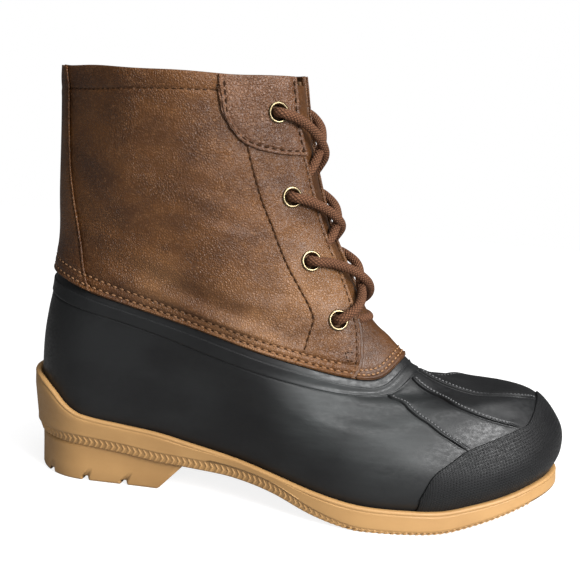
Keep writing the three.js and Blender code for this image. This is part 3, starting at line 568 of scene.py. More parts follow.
def leather_finish(name):
    """Waxed leather: a cloudy brown, lighter in random worn spots and under a painted highlight on the folds
    and the eyestay, darker between the grain's cells.
    """
    dark, middle, light, cells_per_m, grain_mm, roughness = LEATHER_TONES[name]
    material, tree, shader = new_finish(name, Specular_IOR_Level=0.36)
    cloud = use_group(tree, clouds, Size=26.0, Contrast=0.16)
    pebbles = use_group(tree, grain, Cells=cells_per_m, Height=grain_mm)
    tone = mix_color(tree, cloud["Mask"], dark, middle)
    worn = map_range(tree, cloud["Fine"], 0.48, 0.78)
    tone = mix_color(tree, math_node(tree, "MULTIPLY", worn, WORN_SHARE), tone, light)
    # painted highlight: the colour is lightened towards the light tone on the folds and at the eyestay
    painted_highlight = use_zones(tree, HIGHLIGHT_ZONES)
    painted_highlight = math_node(tree, "MULTIPLY", painted_highlight, map_range(tree, cloud["Mask"], 0.0, 1.0, 0.35, 0.75))
    tone = mix_color(tree, painted_highlight, tone, light)
    valley = math_node(tree, "MULTIPLY", pebbles["Valley"], VALLEY_SHARE)
    tone = mix_color(tree, valley, tone, dark)
    tree.links.new(tone, shader.inputs["Base Color"])
    rough = map_range(tree, cloud["Fine"], 0.3, 0.7, roughness - 0.06, roughness + 0.10)
    rough = math_node(tree, "SUBTRACT", rough, math_node(tree, "MULTIPLY", painted_highlight, 0.10))
    tree.links.new(rough, shader.inputs["Roughness"])
    tree.links.new(pebbles["Normal"], shader.inputs["Normal"])
    return material


leather = leather_finish("shaft leather")
patch_leather = leather_finish("patch leather")
tongue_leather = leather_finish("tongue leather")
print("leathers:", len(LEATHER_TONES))

# %% [markdown]
# The foot is matt black rubber and the sole is tan gum. Both are moulded, so they get the same finish with
# their own values: two near tones in clouds, and a fine speckled skin. On the black rubber of the vamp a pale
# patch in faint streaks is painted in, a painted reflection of the lamps. The toe bumper adds small square
# studs, which are the product of two waves over its map.

# %% Rubber and gum
SPECK = 2600.0
STUD_PITCH = 1.6
BLACK_TONES = (0.0055, 0.0055, 0.006), (0.010, 0.0105, 0.011)
# Where the painted reflection lies on the rubber: level, angle in degrees, radius in millimetres
REFLECTION_ZONES = ((3.3, -58, 42), (4.2, -66, 36))
REFLECTION_STRETCH = (0.35, 1.0, 2.4)
SCRATCH_STRETCH = (0.15, 1.0, 1.6)


def molded_finish(name, dark, light, size, contrast, roughness, speck_mm, reflection_tone=None, **values):
    """Moulded rubber: two near tones in clouds, a fine speckled skin, perhaps a painted reflection at the
    ball.
    """
    material, tree, shader = new_finish(name, **values)
    cloud = use_group(tree, clouds, Size=size, Contrast=contrast)
    tone = mix_color(tree, cloud["Mask"], dark, light)
    if reflection_tone:
        # painted reflection: a pale streaky patch in the base colour where the lamps reflect on the vamp
        reflection_streaks = noise(tree, own_place(tree, REFLECTION_STRETCH), 130.0, 4.0, 0.6)
        reflection_streaks = map_range(tree, reflection_streaks, 0.3, 0.75, 0.5, 0.9)
        painted_reflection = math_node(tree, "MULTIPLY", use_zones(tree, REFLECTION_ZONES), reflection_streaks)
        tone = mix_color(tree, painted_reflection, tone, reflection_tone)
    tree.links.new(tone, shader.inputs["Base Color"])
    rough = map_range(tree, cloud["Fine"], 0.35, 0.65, roughness[0], roughness[1])
    tree.links.new(rough, shader.inputs["Roughness"])
    skin = noise(tree, own_place(tree), SPECK, 2.0)
    scratch = noise(tree, own_place(tree, SCRATCH_STRETCH), 900.0, 3.0, 0.7)
    skin = math_node(tree, "ADD", skin, math_node(tree, "MULTIPLY", scratch, 0.25))
    height = math_node(tree, "MULTIPLY", skin, speck_mm)
    bump = add_node(tree, "ShaderNodeBump", {"Height": height, "Distance": MM, "Strength": 1.0})
    tree.links.new(bump.outputs[0], shader.inputs["Normal"])
    return material, tree, bump


rubber, _, _ = molded_finish(
    "black rubber", *BLACK_TONES, 18.0, 0.15, (0.36, 0.52), 0.012,
    reflection_tone=(0.046, 0.050, 0.050), Specular_IOR_Level=0.30,
)
gum, _, _ = molded_finish(
    "gum rubber", (0.345, 0.188, 0.066), (0.405, 0.228, 0.084), 22.0, 0.2, (0.48, 0.60), 0.010,
)
studded, studded_tree, studded_skin = molded_finish(
    "studded rubber", *BLACK_TONES, 18.0, 0.15, (0.42, 0.58), 0.008, Specular_IOR_Level=0.22,
)
studded_map = add_node(studded_tree, "ShaderNodeUVMap").outputs[0]
stud_axes = add_node(studded_tree, "ShaderNodeSeparateXYZ", {0: studded_map}).outputs
stud_turn = 2 * math.pi / STUD_PITCH
stud_x = math_node(studded_tree, "SINE", math_node(studded_tree, "MULTIPLY", stud_axes[0], stud_turn))
stud_y = math_node(studded_tree, "SINE", math_node(studded_tree, "MULTIPLY", stud_axes[1], stud_turn))
stud = math_node(studded_tree, "MINIMUM", stud_x, stud_y)
stud = map_range(studded_tree, stud, -0.5, 0.5, 0.0, 0.4)
stud_bump = add_node(
    studded_tree, "ShaderNodeBump",
    {"Height": stud, "Distance": MM, "Strength": 1.0, "Normal": studded_skin.outputs[0]},
)
studded_shader = studded_tree.nodes["Principled BSDF"]
studded_tree.links.new(stud_bump.outputs[0], studded_shader.inputs["Normal"])
print("studs on the bumper, mm apart:", STUD_PITCH)

# %% [markdown]
# The lace is a round braid, so its relief is drawn over the map of its tube: two sets of waves, wound both
# ways. Its colour follows the same waves, lighter on the strands and darker in the grooves between them, a
# painted shade. Threads and cloths are so fine that a small noise of two tones does for their weave. The
# eyelets are antique brass, a metal whose tone and roughness are cloudy.

# %% Lace, thread, brass and lining
BRAID_PITCH = 1.95
BRAID_HEIGHT = 0.5
CLOTH_HEIGHT = 0.15
FUZZ_SHARE = 0.4


def braid_finish(name, dark, light):
    """A round braid: two sets of threads wound both ways over the map of the tube."""
    material, tree, shader = new_finish(name, Roughness=0.9, Specular_IOR_Level=0.15)
    axes = add_node(tree, "ShaderNodeSeparateXYZ", {0: add_node(tree, "ShaderNodeUVMap").outputs[0]}).outputs
    turn = math.pi / BRAID_PITCH
    along = math_node(tree, "MULTIPLY", axes[1], turn)
    around = math_node(tree, "MULTIPLY", axes[0], turn)
    left = math_node(tree, "ABSOLUTE", math_node(tree, "SINE", math_node(tree, "ADD", along, around)))
    right = math_node(tree, "ABSOLUTE", math_node(tree, "SINE", math_node(tree, "SUBTRACT", along, around)))
    braid = math_node(tree, "MULTIPLY", left, right)
    fuzz = noise(tree, own_place(tree), 2400.0, 3.0)
    # painted shade: darker in the grooves of the braid, lighter on its strands
    tone = mix_color(tree, math_node(tree, "POWER", braid, 0.6), dark, light)
    tone = mix_color(tree, map_range(tree, fuzz, 0.4, 0.7, 0.0, 0.4), tone, dark)
    tree.links.new(tone, shader.inputs["Base Color"])
    height = math_node(tree, "ADD", braid, math_node(tree, "MULTIPLY", fuzz, FUZZ_SHARE))
    height = math_node(tree, "MULTIPLY", height, BRAID_HEIGHT)
    bump = add_node(tree, "ShaderNodeBump", {"Height": height, "Distance": MM, "Strength": 1.0})
    tree.links.new(bump.outputs[0], shader.inputs["Normal"])
    return material


def woven_finish(name, dark, light, threads):
    """A plain cloth: a fine weave of two tones."""
    material, tree, shader = new_finish(name, Roughness=0.9, Specular_IOR_Level=0.08)
    cloth = noise(tree, own_place(tree), threads, 2.0)
    tree.links.new(mix_color(tree, cloth, dark, light), shader.inputs["Base Color"])
    height = math_node(tree, "MULTIPLY", cloth, CLOTH_HEIGHT)
    bump = add_node(tree, "ShaderNodeBump", {"Height": height, "Distance": MM, "Strength": 1.0})
    tree.links.new(bump.outputs[0], shader.inputs["Normal"])
    return material


lace_braid = braid_finish("lace braid", (0.045, 0.019, 0.010), (0.185, 0.085, 0.045))
dark_thread = woven_finish("dark thread", (0.018, 0.009, 0.005), (0.050, 0.024, 0.012), 3000.0)
tan_thread = woven_finish("tan thread", (0.20, 0.105, 0.050), (0.36, 0.205, 0.105), 3000.0)
# the moulded stitches of the black rubber, painted paler grey as a highlight
seam_stitch_highlight = woven_finish("seam stitch painted highlight", (0.07, 0.07, 0.072), (0.17, 0.17, 0.172), 3000.0)
edge_thread = woven_finish("edge thread", (0.14, 0.070, 0.034), (0.30, 0.165, 0.088), 3000.0)
lining_cloth = woven_finish("lining cloth", (0.10, 0.055, 0.030), (0.19, 0.115, 0.065), 1500.0)
footbed_cloth = woven_finish("footbed cloth", (0.030, 0.028, 0.026), (0.075, 0.070, 0.065), 1500.0)
brass, brass_tree, brass_shader = new_finish("antique brass", Metallic=1.0)
brass_cloud = use_group(brass_tree, clouds, Size=160.0, Contrast=0.25)
brass_tone = mix_color(brass_tree, brass_cloud["Mask"], (0.12, 0.092, 0.050), (0.25, 0.20, 0.120))
brass_tree.links.new(brass_tone, brass_shader.inputs["Base Color"])
brass_rough = map_range(brass_tree, brass_cloud["Fine"], 0.3, 0.7, 0.22, 0.40)
brass_tree.links.new(brass_rough, brass_shader.inputs["Roughness"])
print("materials:", len(bpy.data.materials))

# %% [markdown]
# Most pieces of a boot are sheets cut to shape and drawn over the last. So each begins as a flat
# primitive grid with as many columns and rows as it needs, and every point is then laid in its place
# by a function. This keeps clean rows of four-sided faces, which shade smoothly and take a pattern
# that follows the piece. The map of each face corner (its UV) is kept in millimetres.

# %% Lay a grid on the boot
WELD_DISTANCE = 2e-6
BEVEL_ANGLE = math.radians(50)


def mesh_points(piece):
    points = np.empty(len(piece.data.vertices) * 3)
    piece.data.vertices.foreach_get("co", points)
    return points.reshape(-1, 3)


def move_points(piece, points):
    piece.data.vertices.foreach_set("co", np.asarray(points, float).ravel())
    piece.data.update()


def lay_grid(name, columns, rows, place, closed=False):
    """A grid whose point (i, j) goes to place(column numbers, row numbers), in millimetres."""
    bpy.ops.object.select_all(action="DESELECT")
    bpy.ops.mesh.primitive_grid_add(x_subdivisions=columns - 1, y_subdivisions=rows - 1, size=2)
    piece = bpy.context.object
    piece.name = name
    piece.data.name = name
    flat = mesh_points(piece)
    column = np.rint((flat[:, 0] + 1) / 2 * (columns - 1)).astype(int)
    row = np.rint((flat[:, 1] + 1) / 2 * (rows - 1)).astype(int)
    spots = place(column, row)
    move_points(piece, in_frame(spots))
    table = np.zeros((columns, rows, 3))
    table[column, row] = spots
    lay_map(piece, table)
    if closed:
        weld(piece)
    bpy.ops.object.shade_smooth()
    return piece


def lay_map(piece, table):
    """Turns the grid's own map into millimetres along its columns and rows."""
    columns, rows = table.shape[:2]
    across = np.linalg.norm(np.diff(table, axis=0), axis=-1).mean(axis=1)
    along = np.linalg.norm(np.diff(table, axis=1), axis=-1).mean(axis=0)
    across = np.concatenate(([0], np.cumsum(across)))
    along = np.concatenate(([0], np.cumsum(along)))
    layer = piece.data.uv_layers.active
    values = np.empty(len(layer.data) * 2)
    layer.data.foreach_get("uv", values)
    values = values.reshape(-1, 2)
    values[:, 0] = across[np.rint(values[:, 0] * (columns - 1)).astype(int)]
    values[:, 1] = along[np.rint(values[:, 1] * (rows - 1)).astype(int)]
    layer.data.foreach_set("uv", values.ravel())


def select_only(piece):
    bpy.ops.object.select_all(action="DESELECT")
    piece.select_set(True)
    bpy.context.view_layer.objects.active = piece


def weld(piece):
    """Joins the first and last columns, or rows that meet in a point."""
    select_only(piece)
    bpy.ops.object.mode_set(mode="EDIT")
    bpy.ops.mesh.select_all(action="SELECT")
    bpy.ops.mesh.remove_doubles(threshold=WELD_DISTANCE)
    bpy.ops.mesh.normals_make_consistent(inside=False)
    bpy.ops.object.mode_set(mode="OBJECT")


def finish_modifier(piece, kind, **settings):
    """Adds a modifier, sets it and applies it."""
    select_only(piece)
    modifier = piece.modifiers.new(kind.lower(), kind)
    for key, value in settings.items():
        setattr(modifier, key, value)
    bpy.ops.object.modifier_apply(modifier=modifier.name)


def thicken(piece, wall, edge=0.0):
    """Gives a sheet a wall towards the inside of the boot, and rounds its cut edges."""
    finish_modifier(piece, "SOLIDIFY", thickness=wall * MM, offset=-1, use_even_offset=False)
    if edge:
        finish_modifier(
            piece, "BEVEL", width=edge * MM, segments=2, limit_method="ANGLE",
            angle_limit=BEVEL_ANGLE, use_clamp_overlap=True,
        )
    select_only(piece)
    bpy.ops.object.shade_smooth()


def settle(piece, slot, finish, *nodes):
    """A finished piece rides on the boot, takes a finish and may stand for nodes."""
    piece.data.materials.clear()
    piece.data.materials.append(finish)
    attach(piece, "root")
    if nodes:
        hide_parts(*nodes)
    faces = sum(len(polygon.vertices) - 2 for polygon in piece.data.polygons)
    print(piece.name, "triangles:", faces)
    return piece


# %% [markdown]
# Columns and rows should run along the seams and edges, because a seam that crosses the faces at a
# slant looks ragged. So a column is stated as a share of the way between two guide lines, plus a few
# millimetres off one of them. Close to a seam there are many columns, elsewhere few.

# %% Columns that follow guide lines
GUIDE_ROOM = 0.85


def speed(v, angle):
    """Millimetres along the surface for one radian of turn."""
    step = last_point(v, angle + PROBE) - last_point(v, angle - PROBE)
    return np.linalg.norm(step, axis=-1) / (2 * PROBE)


def rise(v, angle):
    """Millimetres up the surface for one ring count."""
    step = last_point(v + PROBE, angle) - last_point(v - PROBE, angle)
    return np.linalg.norm(step, axis=-1) / (2 * PROBE)


def guided(spread):
    """Columns from a list of (offsets from a guide in mm, count of even columns before the next)."""
    columns = []
    for number, (offsets, between) in enumerate(spread):
        columns += [(number, 0.0, offset) for offset in offsets]
        columns += [(number, share, 0.0) for share in np.linspace(0, 1, between + 2)[1:-1]]
    ends = np.array([(offsets[0], offsets[-1]) for offsets, _ in spread])
    return np.array(columns), ends


def guided_angle(guides, columns, index, v):
    """The angle in radians of each column at each ring count.

    Where two guides come close, the offsets shrink so that no columns cross.
    """
    table, ends = columns
    lines = np.stack([np.broadcast_to(np.radians(guide(v)), v.shape) for guide in guides])
    paces = np.stack([speed(v, line) for line in lines])
    gaps = np.diff(lines, axis=0) * (paces[1:] + paces[:-1]) / 2
    room = GUIDE_ROOM * gaps / np.maximum(ends[:-1, 1] - ends[1:, 0], 0.01)[:, None]
    room = np.minimum(room, 1)
    room = np.concatenate((np.ones((1, len(v))), room, np.ones((1, len(v)))))
    number = table[index, 0].astype(int)
    share, offset = table[index, 1], table[index, 2]
    at = np.arange(len(index))
    after = np.minimum(number + 1, len(guides) - 1)
    shrink = np.where(offset < 0, room[number, at], room[number + 1, at])
    near = lines[number, at] + offset * shrink / paces[number, at]
    start = lines[number, at] + ends[number, 1] * room[number + 1, at] / paces[number, at]
    end = lines[after, at] + ends[after, 0] * room[number + 1, at] / paces[after, at]
    return np.where(share > 0, start + (end - start) * share, near)


# %% [markdown]
# The rubber foot is moulded in one piece. Five raised seams run over the vamp from the top band to
# the toe bumper: each has a thin lip with a row of stitches above it. The profile of a seam is a short
# table of height against distance, and the wall between v = 0 and the leather edge adds the band's
# steps. The wall is real, so the foot stays hollow.

# %% Rubber foot
FOOT_WALL = RUBBER_WALL - 0.2
SEAM_LEVELS = (2.33, 2.45, 2.80, 3.10, 3.50, 4.00, 4.50, 5.00)
SEAM_OUTER = (44.5, 46, 49, 49.5, 48.5, 44.6, 38.0, 29)
SEAM_MIDDLE = (25, 26.5, 34.5, 37.5, 36.5, 30, 21, 13)
SEAM_CENTRE = (-5, -5, -7, -13, -14, -12, -9, -3)
SEAM_HEIGHT = 1.0
SEAM_REACH = 13.0
# Across a seam, lower side first: millimetres from the lip, share of its height
SEAM_PROFILE = (
    (-5.0, 0.0), (-2.2, -0.12), (-1.0, -0.42), (-0.45, -0.35), (-0.1, 0.65), (0.3, 1.0), (0.9, 0.95),
    (1.4, 0.55), (1.9, 0.42), (2.6, 0.62), (4.5, 0.40), (7.5, 0.12), (11.0, 0.0),
)
SEAM_OFFSETS = (-5.0, -3.4, -2.2, -1.5, -1.0, -0.7, -0.45, -0.28, -0.1, 0.1, 0.3, 0.6, 0.9, 1.15, 1.4, 1.65,
                1.9, 2.2, 2.6, 3.5, 4.5, 6.0, 7.5)
CAP_ANGLES = (0, 10, 17, 22.5, 27, 36, 44.5, 49, 53.5, 56, 58)
CAP_LEVELS = (2.88, 2.75, 2.58, 2.44, 2.43, 2.40, 2.33, 2.18, 1.93, 1.62, 1.05)
# Up the foot through the top band: level, millimetres off the last
BAND_PROFILE = (
    (4.9, 0.0), (4.975, -0.35), (4.995, -0.3), (5.01, 0.35), (5.04, 0.5), (5.3, 0.42), (5.6, 0.5),
    (5.645, 0.45), (5.66, 0.1), (5.675, -0.25), (5.75, -0.35), (5.95, -1.0), (6.0, -2.2), (6.05, -2.45),
    (6.5, -2.45),
)


def seam(values):
    return lambda v: curve(SEAM_LEVELS, values, v)


def mirrored(guide):
    return lambda v: -guide(v)


seam_lines = (
    (mirrored(seam(SEAM_OUTER)), 1), (mirrored(seam(SEAM_MIDDLE)), 1), (seam(SEAM_CENTRE), 1),
    (seam(SEAM_MIDDLE), -1), (seam(SEAM_OUTER), -1),
)


def cap_edge(angle):
    return curve(CAP_ANGLES, CAP_LEVELS, np.degrees(np.abs(angle)))


def seam_relief(v, angle):
    """Height of the raised seams, which fade out at the toe bumper and under the band."""
    fade = np.clip((v - cap_edge(angle) - 0.02) / 0.12, 0, 1) * np.clip((BAND_LINE - v) / 0.05, 0, 1)
    reach, share = zip(*SEAM_PROFILE)
    height = np.zeros_like(angle)
    lines = np.stack([np.radians(line(v)) for line, _ in seam_lines])
    for number, (_, side) in enumerate(seam_lines):
        start = lines[number]
        pace = speed(v, start)
        others = np.abs(np.delete(lines, number, axis=0) - start).min(axis=0) * pace
        crowd = np.minimum(others / SEAM_REACH, 1)
        across = (angle - start) * pace * side / crowd
        height += np.interp(across, reach, share, left=0, right=0) * np.sqrt(crowd)
    return SEAM_HEIGHT * height * fade


def rubber_relief(v, angle):
    at, out = zip(*BAND_PROFILE)
    return np.interp(v, at, out) + seam_relief(v, angle)


shell_guides = [
    lambda v: np.full_like(v, -180.0), *[line for line, _ in seam_lines], lambda v: np.full_like(v, 180.0),
]
flipped = [-offset for offset in SEAM_OFFSETS[::-1]]
shell_columns = guided([
    ((0,), 60), (SEAM_OFFSETS, 6), (SEAM_OFFSETS, 8), (SEAM_OFFSETS, 8), (flipped, 6), (flipped, 60),
    ((0,), 0),
])
shell_rows = np.concatenate((
    np.linspace(0, 2.2, 26), np.linspace(2.27, 2.95, 18), np.linspace(3.05, 4.85, 36),
    [4.9, 4.94, 4.975, 4.995, 5.01, 5.04, 5.12, 5.2, 5.3, 5.4, 5.5, 5.6, 5.63, 5.645, 5.66, 5.675, 5.7, 5.75],
    [5.82, 5.9, 5.95, 5.98, 6.0, 6.05, 6.2, 6.35, 6.5],
))


def lay_shell(column, row):
    v = shell_rows[row]
    angle = guided_angle(shell_guides, shell_columns, column, v)
    return off_last(v, angle, rubber_relief(v, angle))


shell = lay_grid("rubber_foot", len(shell_columns[0]), len(shell_rows), lay_shell, closed=True)
thicken(shell, FOOT_WALL)
settle(shell, "rubber", rubber, "rubber_shell")

# %% [markdown]
# The toe bumper is a thicker skin of rubber with a fine pattern of small square studs. It is laid over
# the foot between the sole's rim and the scalloped edge, a millimetre proud, with a rounded edge.

# %% Toe bumper
CAP_STEP = 1.0
CAP_REACH = 58.0
CAP_WALL = 1.8
CAP_EDGE = 0.5
CAP_UNDER_RIM = 0.12
CAP_COLUMNS, CAP_ROWS = 150, 60


def lay_cap(column, row):
    angle = np.radians(np.linspace(-CAP_REACH, CAP_REACH, CAP_COLUMNS))[column]
    low = rim_level(angle) - CAP_UNDER_RIM
    share = np.linspace(0, 1, CAP_ROWS)[row]
    v = low + (cap_edge(angle) - low) * share
    return off_last(v, angle, np.full(len(v), CAP_STEP))


cap = lay_grid("toe_bumper", CAP_COLUMNS, CAP_ROWS, lay_cap)
thicken(cap, CAP_WALL, edge=CAP_EDGE)
settle(cap, "rubber", studded)

# %% [markdown]
# The gum sole is one closed moulding. Its section runs from the middle of the underside out to the
# edge, up the side past the rib band to the rim, down inside as a cup and back to the middle of the
# floor. Laid round the foot as one closed grid, it has no seam, and both ends close on the centre line.

# %% Gum sole
SOLE_COLUMNS = 361
# Up the side under the rib band's top: share of the heel taper, inset, share of the band, height over it
LOW_WALL = (
    (1.0, 0.7, 0, 0.25), (1.0, 0.2, 0, 0.8), (1.0, 0.0, 0, 1.4), (0.85, 0.0, 0.5, 0.0), (0.6, 0.0, 1, -0.5),
    (0.55, 0.0, 1, -0.1), (0.5, -0.35, 1, 0.2), (0.45, -0.4, 1, 0.8),
)
# Round the rim: inset, height over the rim
RIM_WALL = (
    (0.05, -2.0), (0.25, -1.75), (0.05, -1.5), (-0.05, -0.9), (0.2, -0.3), (0.8, 0.0), (2.2, 0.05),
)
CUP_DEPTHS = (0.98, 0.7, 0.35, 0.0)


def sole_edge(angle, inset):
    """The sole's outline seen from above, moved in by millimetres."""
    v = rim_level(angle)
    point = last_point(v, angle)
    flat = last_normal(v, angle) * np.array((1, 1, 0))
    flat /= np.linalg.norm(flat, axis=-1, keepdims=True)
    return point + flat * (RIM_THICKNESS - inset)[..., None]


sole_angles = np.linspace(0, 2 * np.pi, SOLE_COLUMNS)
sole_x = last_point(rim_level(sole_angles), sole_angles)[:, 0]
sole_low = underside(sole_x)
sole_band = sole_low + RIB_BAND_HEIGHT * profile(5, sole_x)
sole_rim = rim_height(sole_x)
sole_taper = HEEL_TAPER * profile(6, sole_x)


def wall_ring(inset, height):
    """A ring of the sole's wall, by insets and heights in millimetres."""
    ring = sole_edge(sole_angles, np.broadcast_to(inset, sole_angles.shape))
    ring[:, 2] = height
    return ring


def toward_middle(ring, share):
    """Draws a ring in towards the centre line without moving it along the foot."""
    middle = TOE_SWING * curve(SWING_AT, SWING, ring[:, 0] / LENGTH)
    drawn = ring.copy()
    drawn[:, 1] = middle + (ring[:, 1] - middle) * share
    return drawn if share else (drawn + drawn[::-1]) / 2


def up_side(share):
    return sole_band + (sole_rim - sole_band) * share


foot_ring = wall_ring(sole_taper + 1.7, sole_low)
cup_levels = rim_level(sole_angles)
sole_rings = [toward_middle(foot_ring, share) for share in (0.0, 0.3, 0.6, 0.85)]
sole_rings.append(foot_ring)
for taper, inset, share, over in LOW_WALL:
    height = sole_low + (sole_band - sole_low) * share + over
    sole_rings.append(wall_ring(sole_taper * taper + inset, height))
for share in np.linspace(0, 1, 6):
    fading = (sole_taper * LOW_WALL[-1][0] + LOW_WALL[-1][1]) * (1 - share)
    sole_rings.append(wall_ring(fading, up_side(0.12 + 0.6 * share)))
sole_rings.append(wall_ring(0.0, up_side(0.80)))
sole_rings += [wall_ring(inset, sole_rim + over) for inset, over in RIM_WALL]
for depth in CUP_DEPTHS:
    ring = off_last(cup_levels * depth, sole_angles, np.full(SOLE_COLUMNS, CURVED_GAP))
    if depth == 0:
        ring[:, 2] = footbed(ring[:, 0]) - GAP
    sole_rings.append(ring)
sole_rings += [toward_middle(sole_rings[-1], share) for share in (0.6, 0.3, 0.0)]
sole_table = np.stack(sole_rings)


def lay_sole(column, row):
    return sole_table[row, column]


sole = lay_grid("gum_sole", SOLE_COLUMNS, len(sole_rings), lay_sole, closed=True)

# %% [markdown]
# The heel block is the thick rubber under the heel, which ends at a sloping face in front, its breast.
# A box with a bevel would not follow the sole's outline. So the block starts as a grid too, a stack of
# rings that run round the outline and straight across at the breast.

# %% Heel block
HEEL_BLOCK_INSET = 0.3
HEEL_BREAST = 77.0
BREAST_SLOPE = 14.0
HEEL_COLUMNS = 121
BREAST_COLUMNS = 8
HEEL_TOP = 21.0
# Up the block: inset and height
HEEL_WALL = (
    (1.4, 0.0), (0.75, 0.15), (0.3, 0.6), (0.0, 1.5), (0.0, 8.0), (0.0, 14.0), (-0.1, 18.0), (0.0, HEEL_TOP),
)

half_ring = sole_angles[sole_angles <= np.pi]
half_ring_x = sole_edge(half_ring, np.zeros(len(half_ring)))[:, 0]


def outline_angle(x, side):
    """The angle at which the sole's outline crosses a place along the foot."""
    return side * float(np.interp(x, half_ring_x[::-1], half_ring[::-1]))


def heel_ring(inset, z, shrink=1.0):
    """A ring of the heel block, drawn in towards its middle by a share."""
    breast = HEEL_BREAST + BREAST_SLOPE * min(z / ARCH_HEIGHT, 1) - inset
    start = outline_angle(breast, 1)
    end = outline_angle(breast, -1) + 2 * math.pi
    angles = np.linspace(start, end, HEEL_COLUMNS - BREAST_COLUMNS)
    ring = sole_edge(angles, np.full(len(angles), HEEL_TAPER + HEEL_BLOCK_INSET + inset))
    across = np.linspace(0, 1, BREAST_COLUMNS + 2)[1:-1, None]
    front = ring[-1] + (ring[0] - ring[-1]) * across
    ring = np.concatenate((ring, front, ring[:1]))[:HEEL_COLUMNS + 1]
    ring[:, 2] = z
    middle = np.array((HEEL_BREAST / 2, 0, z))
    return middle + (ring - middle) * shrink


heel_rings = [heel_ring(*HEEL_WALL[0], shrink) for shrink in (0.0, 0.5, 0.9)]
heel_rings += [heel_ring(*values) for values in HEEL_WALL]
heel_rings += [heel_ring(0.0, HEEL_TOP, shrink) for shrink in (0.5, 0.0)]
heel_table = np.stack(heel_rings)


def lay_heel(column, row):
    return heel_table[row, column]


heel = lay_grid("heel_block", heel_table.shape[1], len(heel_rings), lay_heel, closed=True)

# %% [markdown]
# Three grooves cross the heel and chevron grooves cross the forefoot. A mould leaves them open, and
# here bars are laid where rubber is missing and a Boolean modifier takes them away. The two arms of the
# chevrons are taken away one after the other, because bars that touch would confuse the Boolean.

# %% Grooves of the tread
GROOVE_WIDTH = 4.5
GROOVE_DEPTH = 3.0
GROOVE_ANGLE = math.radians(25)
HEEL_GROOVES = (0.05, 0.127, 0.203)
FOREFOOT_GROOVES = (0.60, 0.645, 0.69, 0.735, 0.78, 0.825, 0.87)
GROOVE_MARGIN = 12.0
GROOVE_DRAFT = (0.7, 1.3)
ARM_GAP = 2.5


def groove_bar(name, length, place, turn):
    """A bar to be cut away, narrower at its top as in a mould."""
    bpy.ops.object.select_all(action="DESELECT")
    bpy.ops.mesh.primitive_cube_add(size=1)
    bar = bpy.context.object
    bar.name = name
    size = np.array((GROOVE_WIDTH, length, 2 * GROOVE_DEPTH))
    points = mesh_points(bar) * size
    points[:, 0] *= np.where(points[:, 2] > 0, *GROOVE_DRAFT)
    cos, sin = math.cos(turn), math.sin(turn)
    turned = points.copy()
    turned[:, 0] = points[:, 0] * cos - points[:, 1] * sin
    turned[:, 1] = points[:, 0] * sin + points[:, 1] * cos
    move_points(bar, in_frame(turned + np.array(place)))
    return bar


def cut_away(piece, bars):
    """Takes the joined bars away from a closed piece."""
    bpy.ops.object.select_all(action="DESELECT")
    for bar in bars:
        bar.select_set(True)
    bpy.context.view_layer.objects.active = bars[0]
    bpy.ops.object.join()
    cutter = bars[0]
    finish_modifier(piece, "BOOLEAN", object=cutter, operation="DIFFERENCE", solver="EXACT")
    bpy.data.objects.remove(cutter, do_unlink=True)


heel_bars = [groove_bar("bar", 2 * HEEL_WIDTH, (at * LENGTH, 0, 0), 0) for at in HEEL_GROOVES]
cut_away(heel, heel_bars)
settle(heel, "gum", gum)

forefoot_bars = {GROOVE_ANGLE: [], -GROOVE_ANGLE: []}
for at in FOREFOOT_GROOVES:
    x = at * LENGTH
    outer = sole_edge(np.array([outline_angle(x, -1)]), np.array([GROOVE_MARGIN]))[0, 1]
    inner = sole_edge(np.array([outline_angle(x, 1)]), np.array([GROOVE_MARGIN]))[0, 1]
    length = (inner - outer) / 2 / math.cos(GROOVE_ANGLE) - ARM_GAP
    back = (length / 2 + 1.5) * math.sin(GROOVE_ANGLE)
    z = float(underside(x))
    for edge, turn in ((inner, GROOVE_ANGLE), (outer, -GROOVE_ANGLE)):
        place = (x - back, ((inner + outer) / 2 + edge) / 2, z)
        forefoot_bars[turn].append(groove_bar("bar", length, place, turn))
for bars in forefoot_bars.values():
    cut_away(sole, bars)
settle(sole, "gum", gum, "outsole")

# %% [markdown]
# Ribs and stitches are small parts that repeat by the hundred. Each is modelled once with a few faces
# and copied along a line, with its own three directions at each place. An Array modifier could follow
# a curve too, but it can't keep every copy flat on a surface that turns.

# %% Copies of a small part along a line
def copy_along(name, master, places, rights, ups, outs):
    """One mesh of many copies of a small part. Its X, Y and Z go to right, up and out."""
    points = mesh_points(master)
    faces = [tuple(face.vertices) for face in master.data.polygons]
    count = len(points)
    spots = places[:, None] + points[None, :, :1] * rights[:, None]
    spots = spots + points[None, :, 1:2] * ups[:, None] + points[None, :, 2:] * outs[:, None]
    mesh = bpy.data.meshes.new(name)
    copied = [tuple(i + k * count for i in face) for k in range(len(places)) for face in faces]
    mesh.from_pydata(in_frame(spots.reshape(-1, 3)).tolist(), [], copied)
    piece = bpy.data.objects.new(name, mesh)
    bpy.context.collection.objects.link(piece)
    bpy.data.objects.remove(master, do_unlink=True)
    select_only(piece)
    bpy.ops.object.shade_smooth()
    return piece


def unit(vectors):
    return vectors / np.linalg.norm(vectors, axis=-1, keepdims=True)


# %% [markdown]
# A fine rib band runs round the sole's side: small chevrons that point to the toe. One chevron comes
# from a primitive grid that is bent in the middle and tapered. It shrinks where the band gets low.

# %% Rib band
CHEVRON_PITCH = 3.1
CHEVRON_WIDE = 1.8
CHEVRON_PROUD = 0.38
CHEVRON_SINK = -0.3
CHEVRON_BEND = 1.5
RIB_SHARE = 0.84
RIB_SHORTEST = 1.3


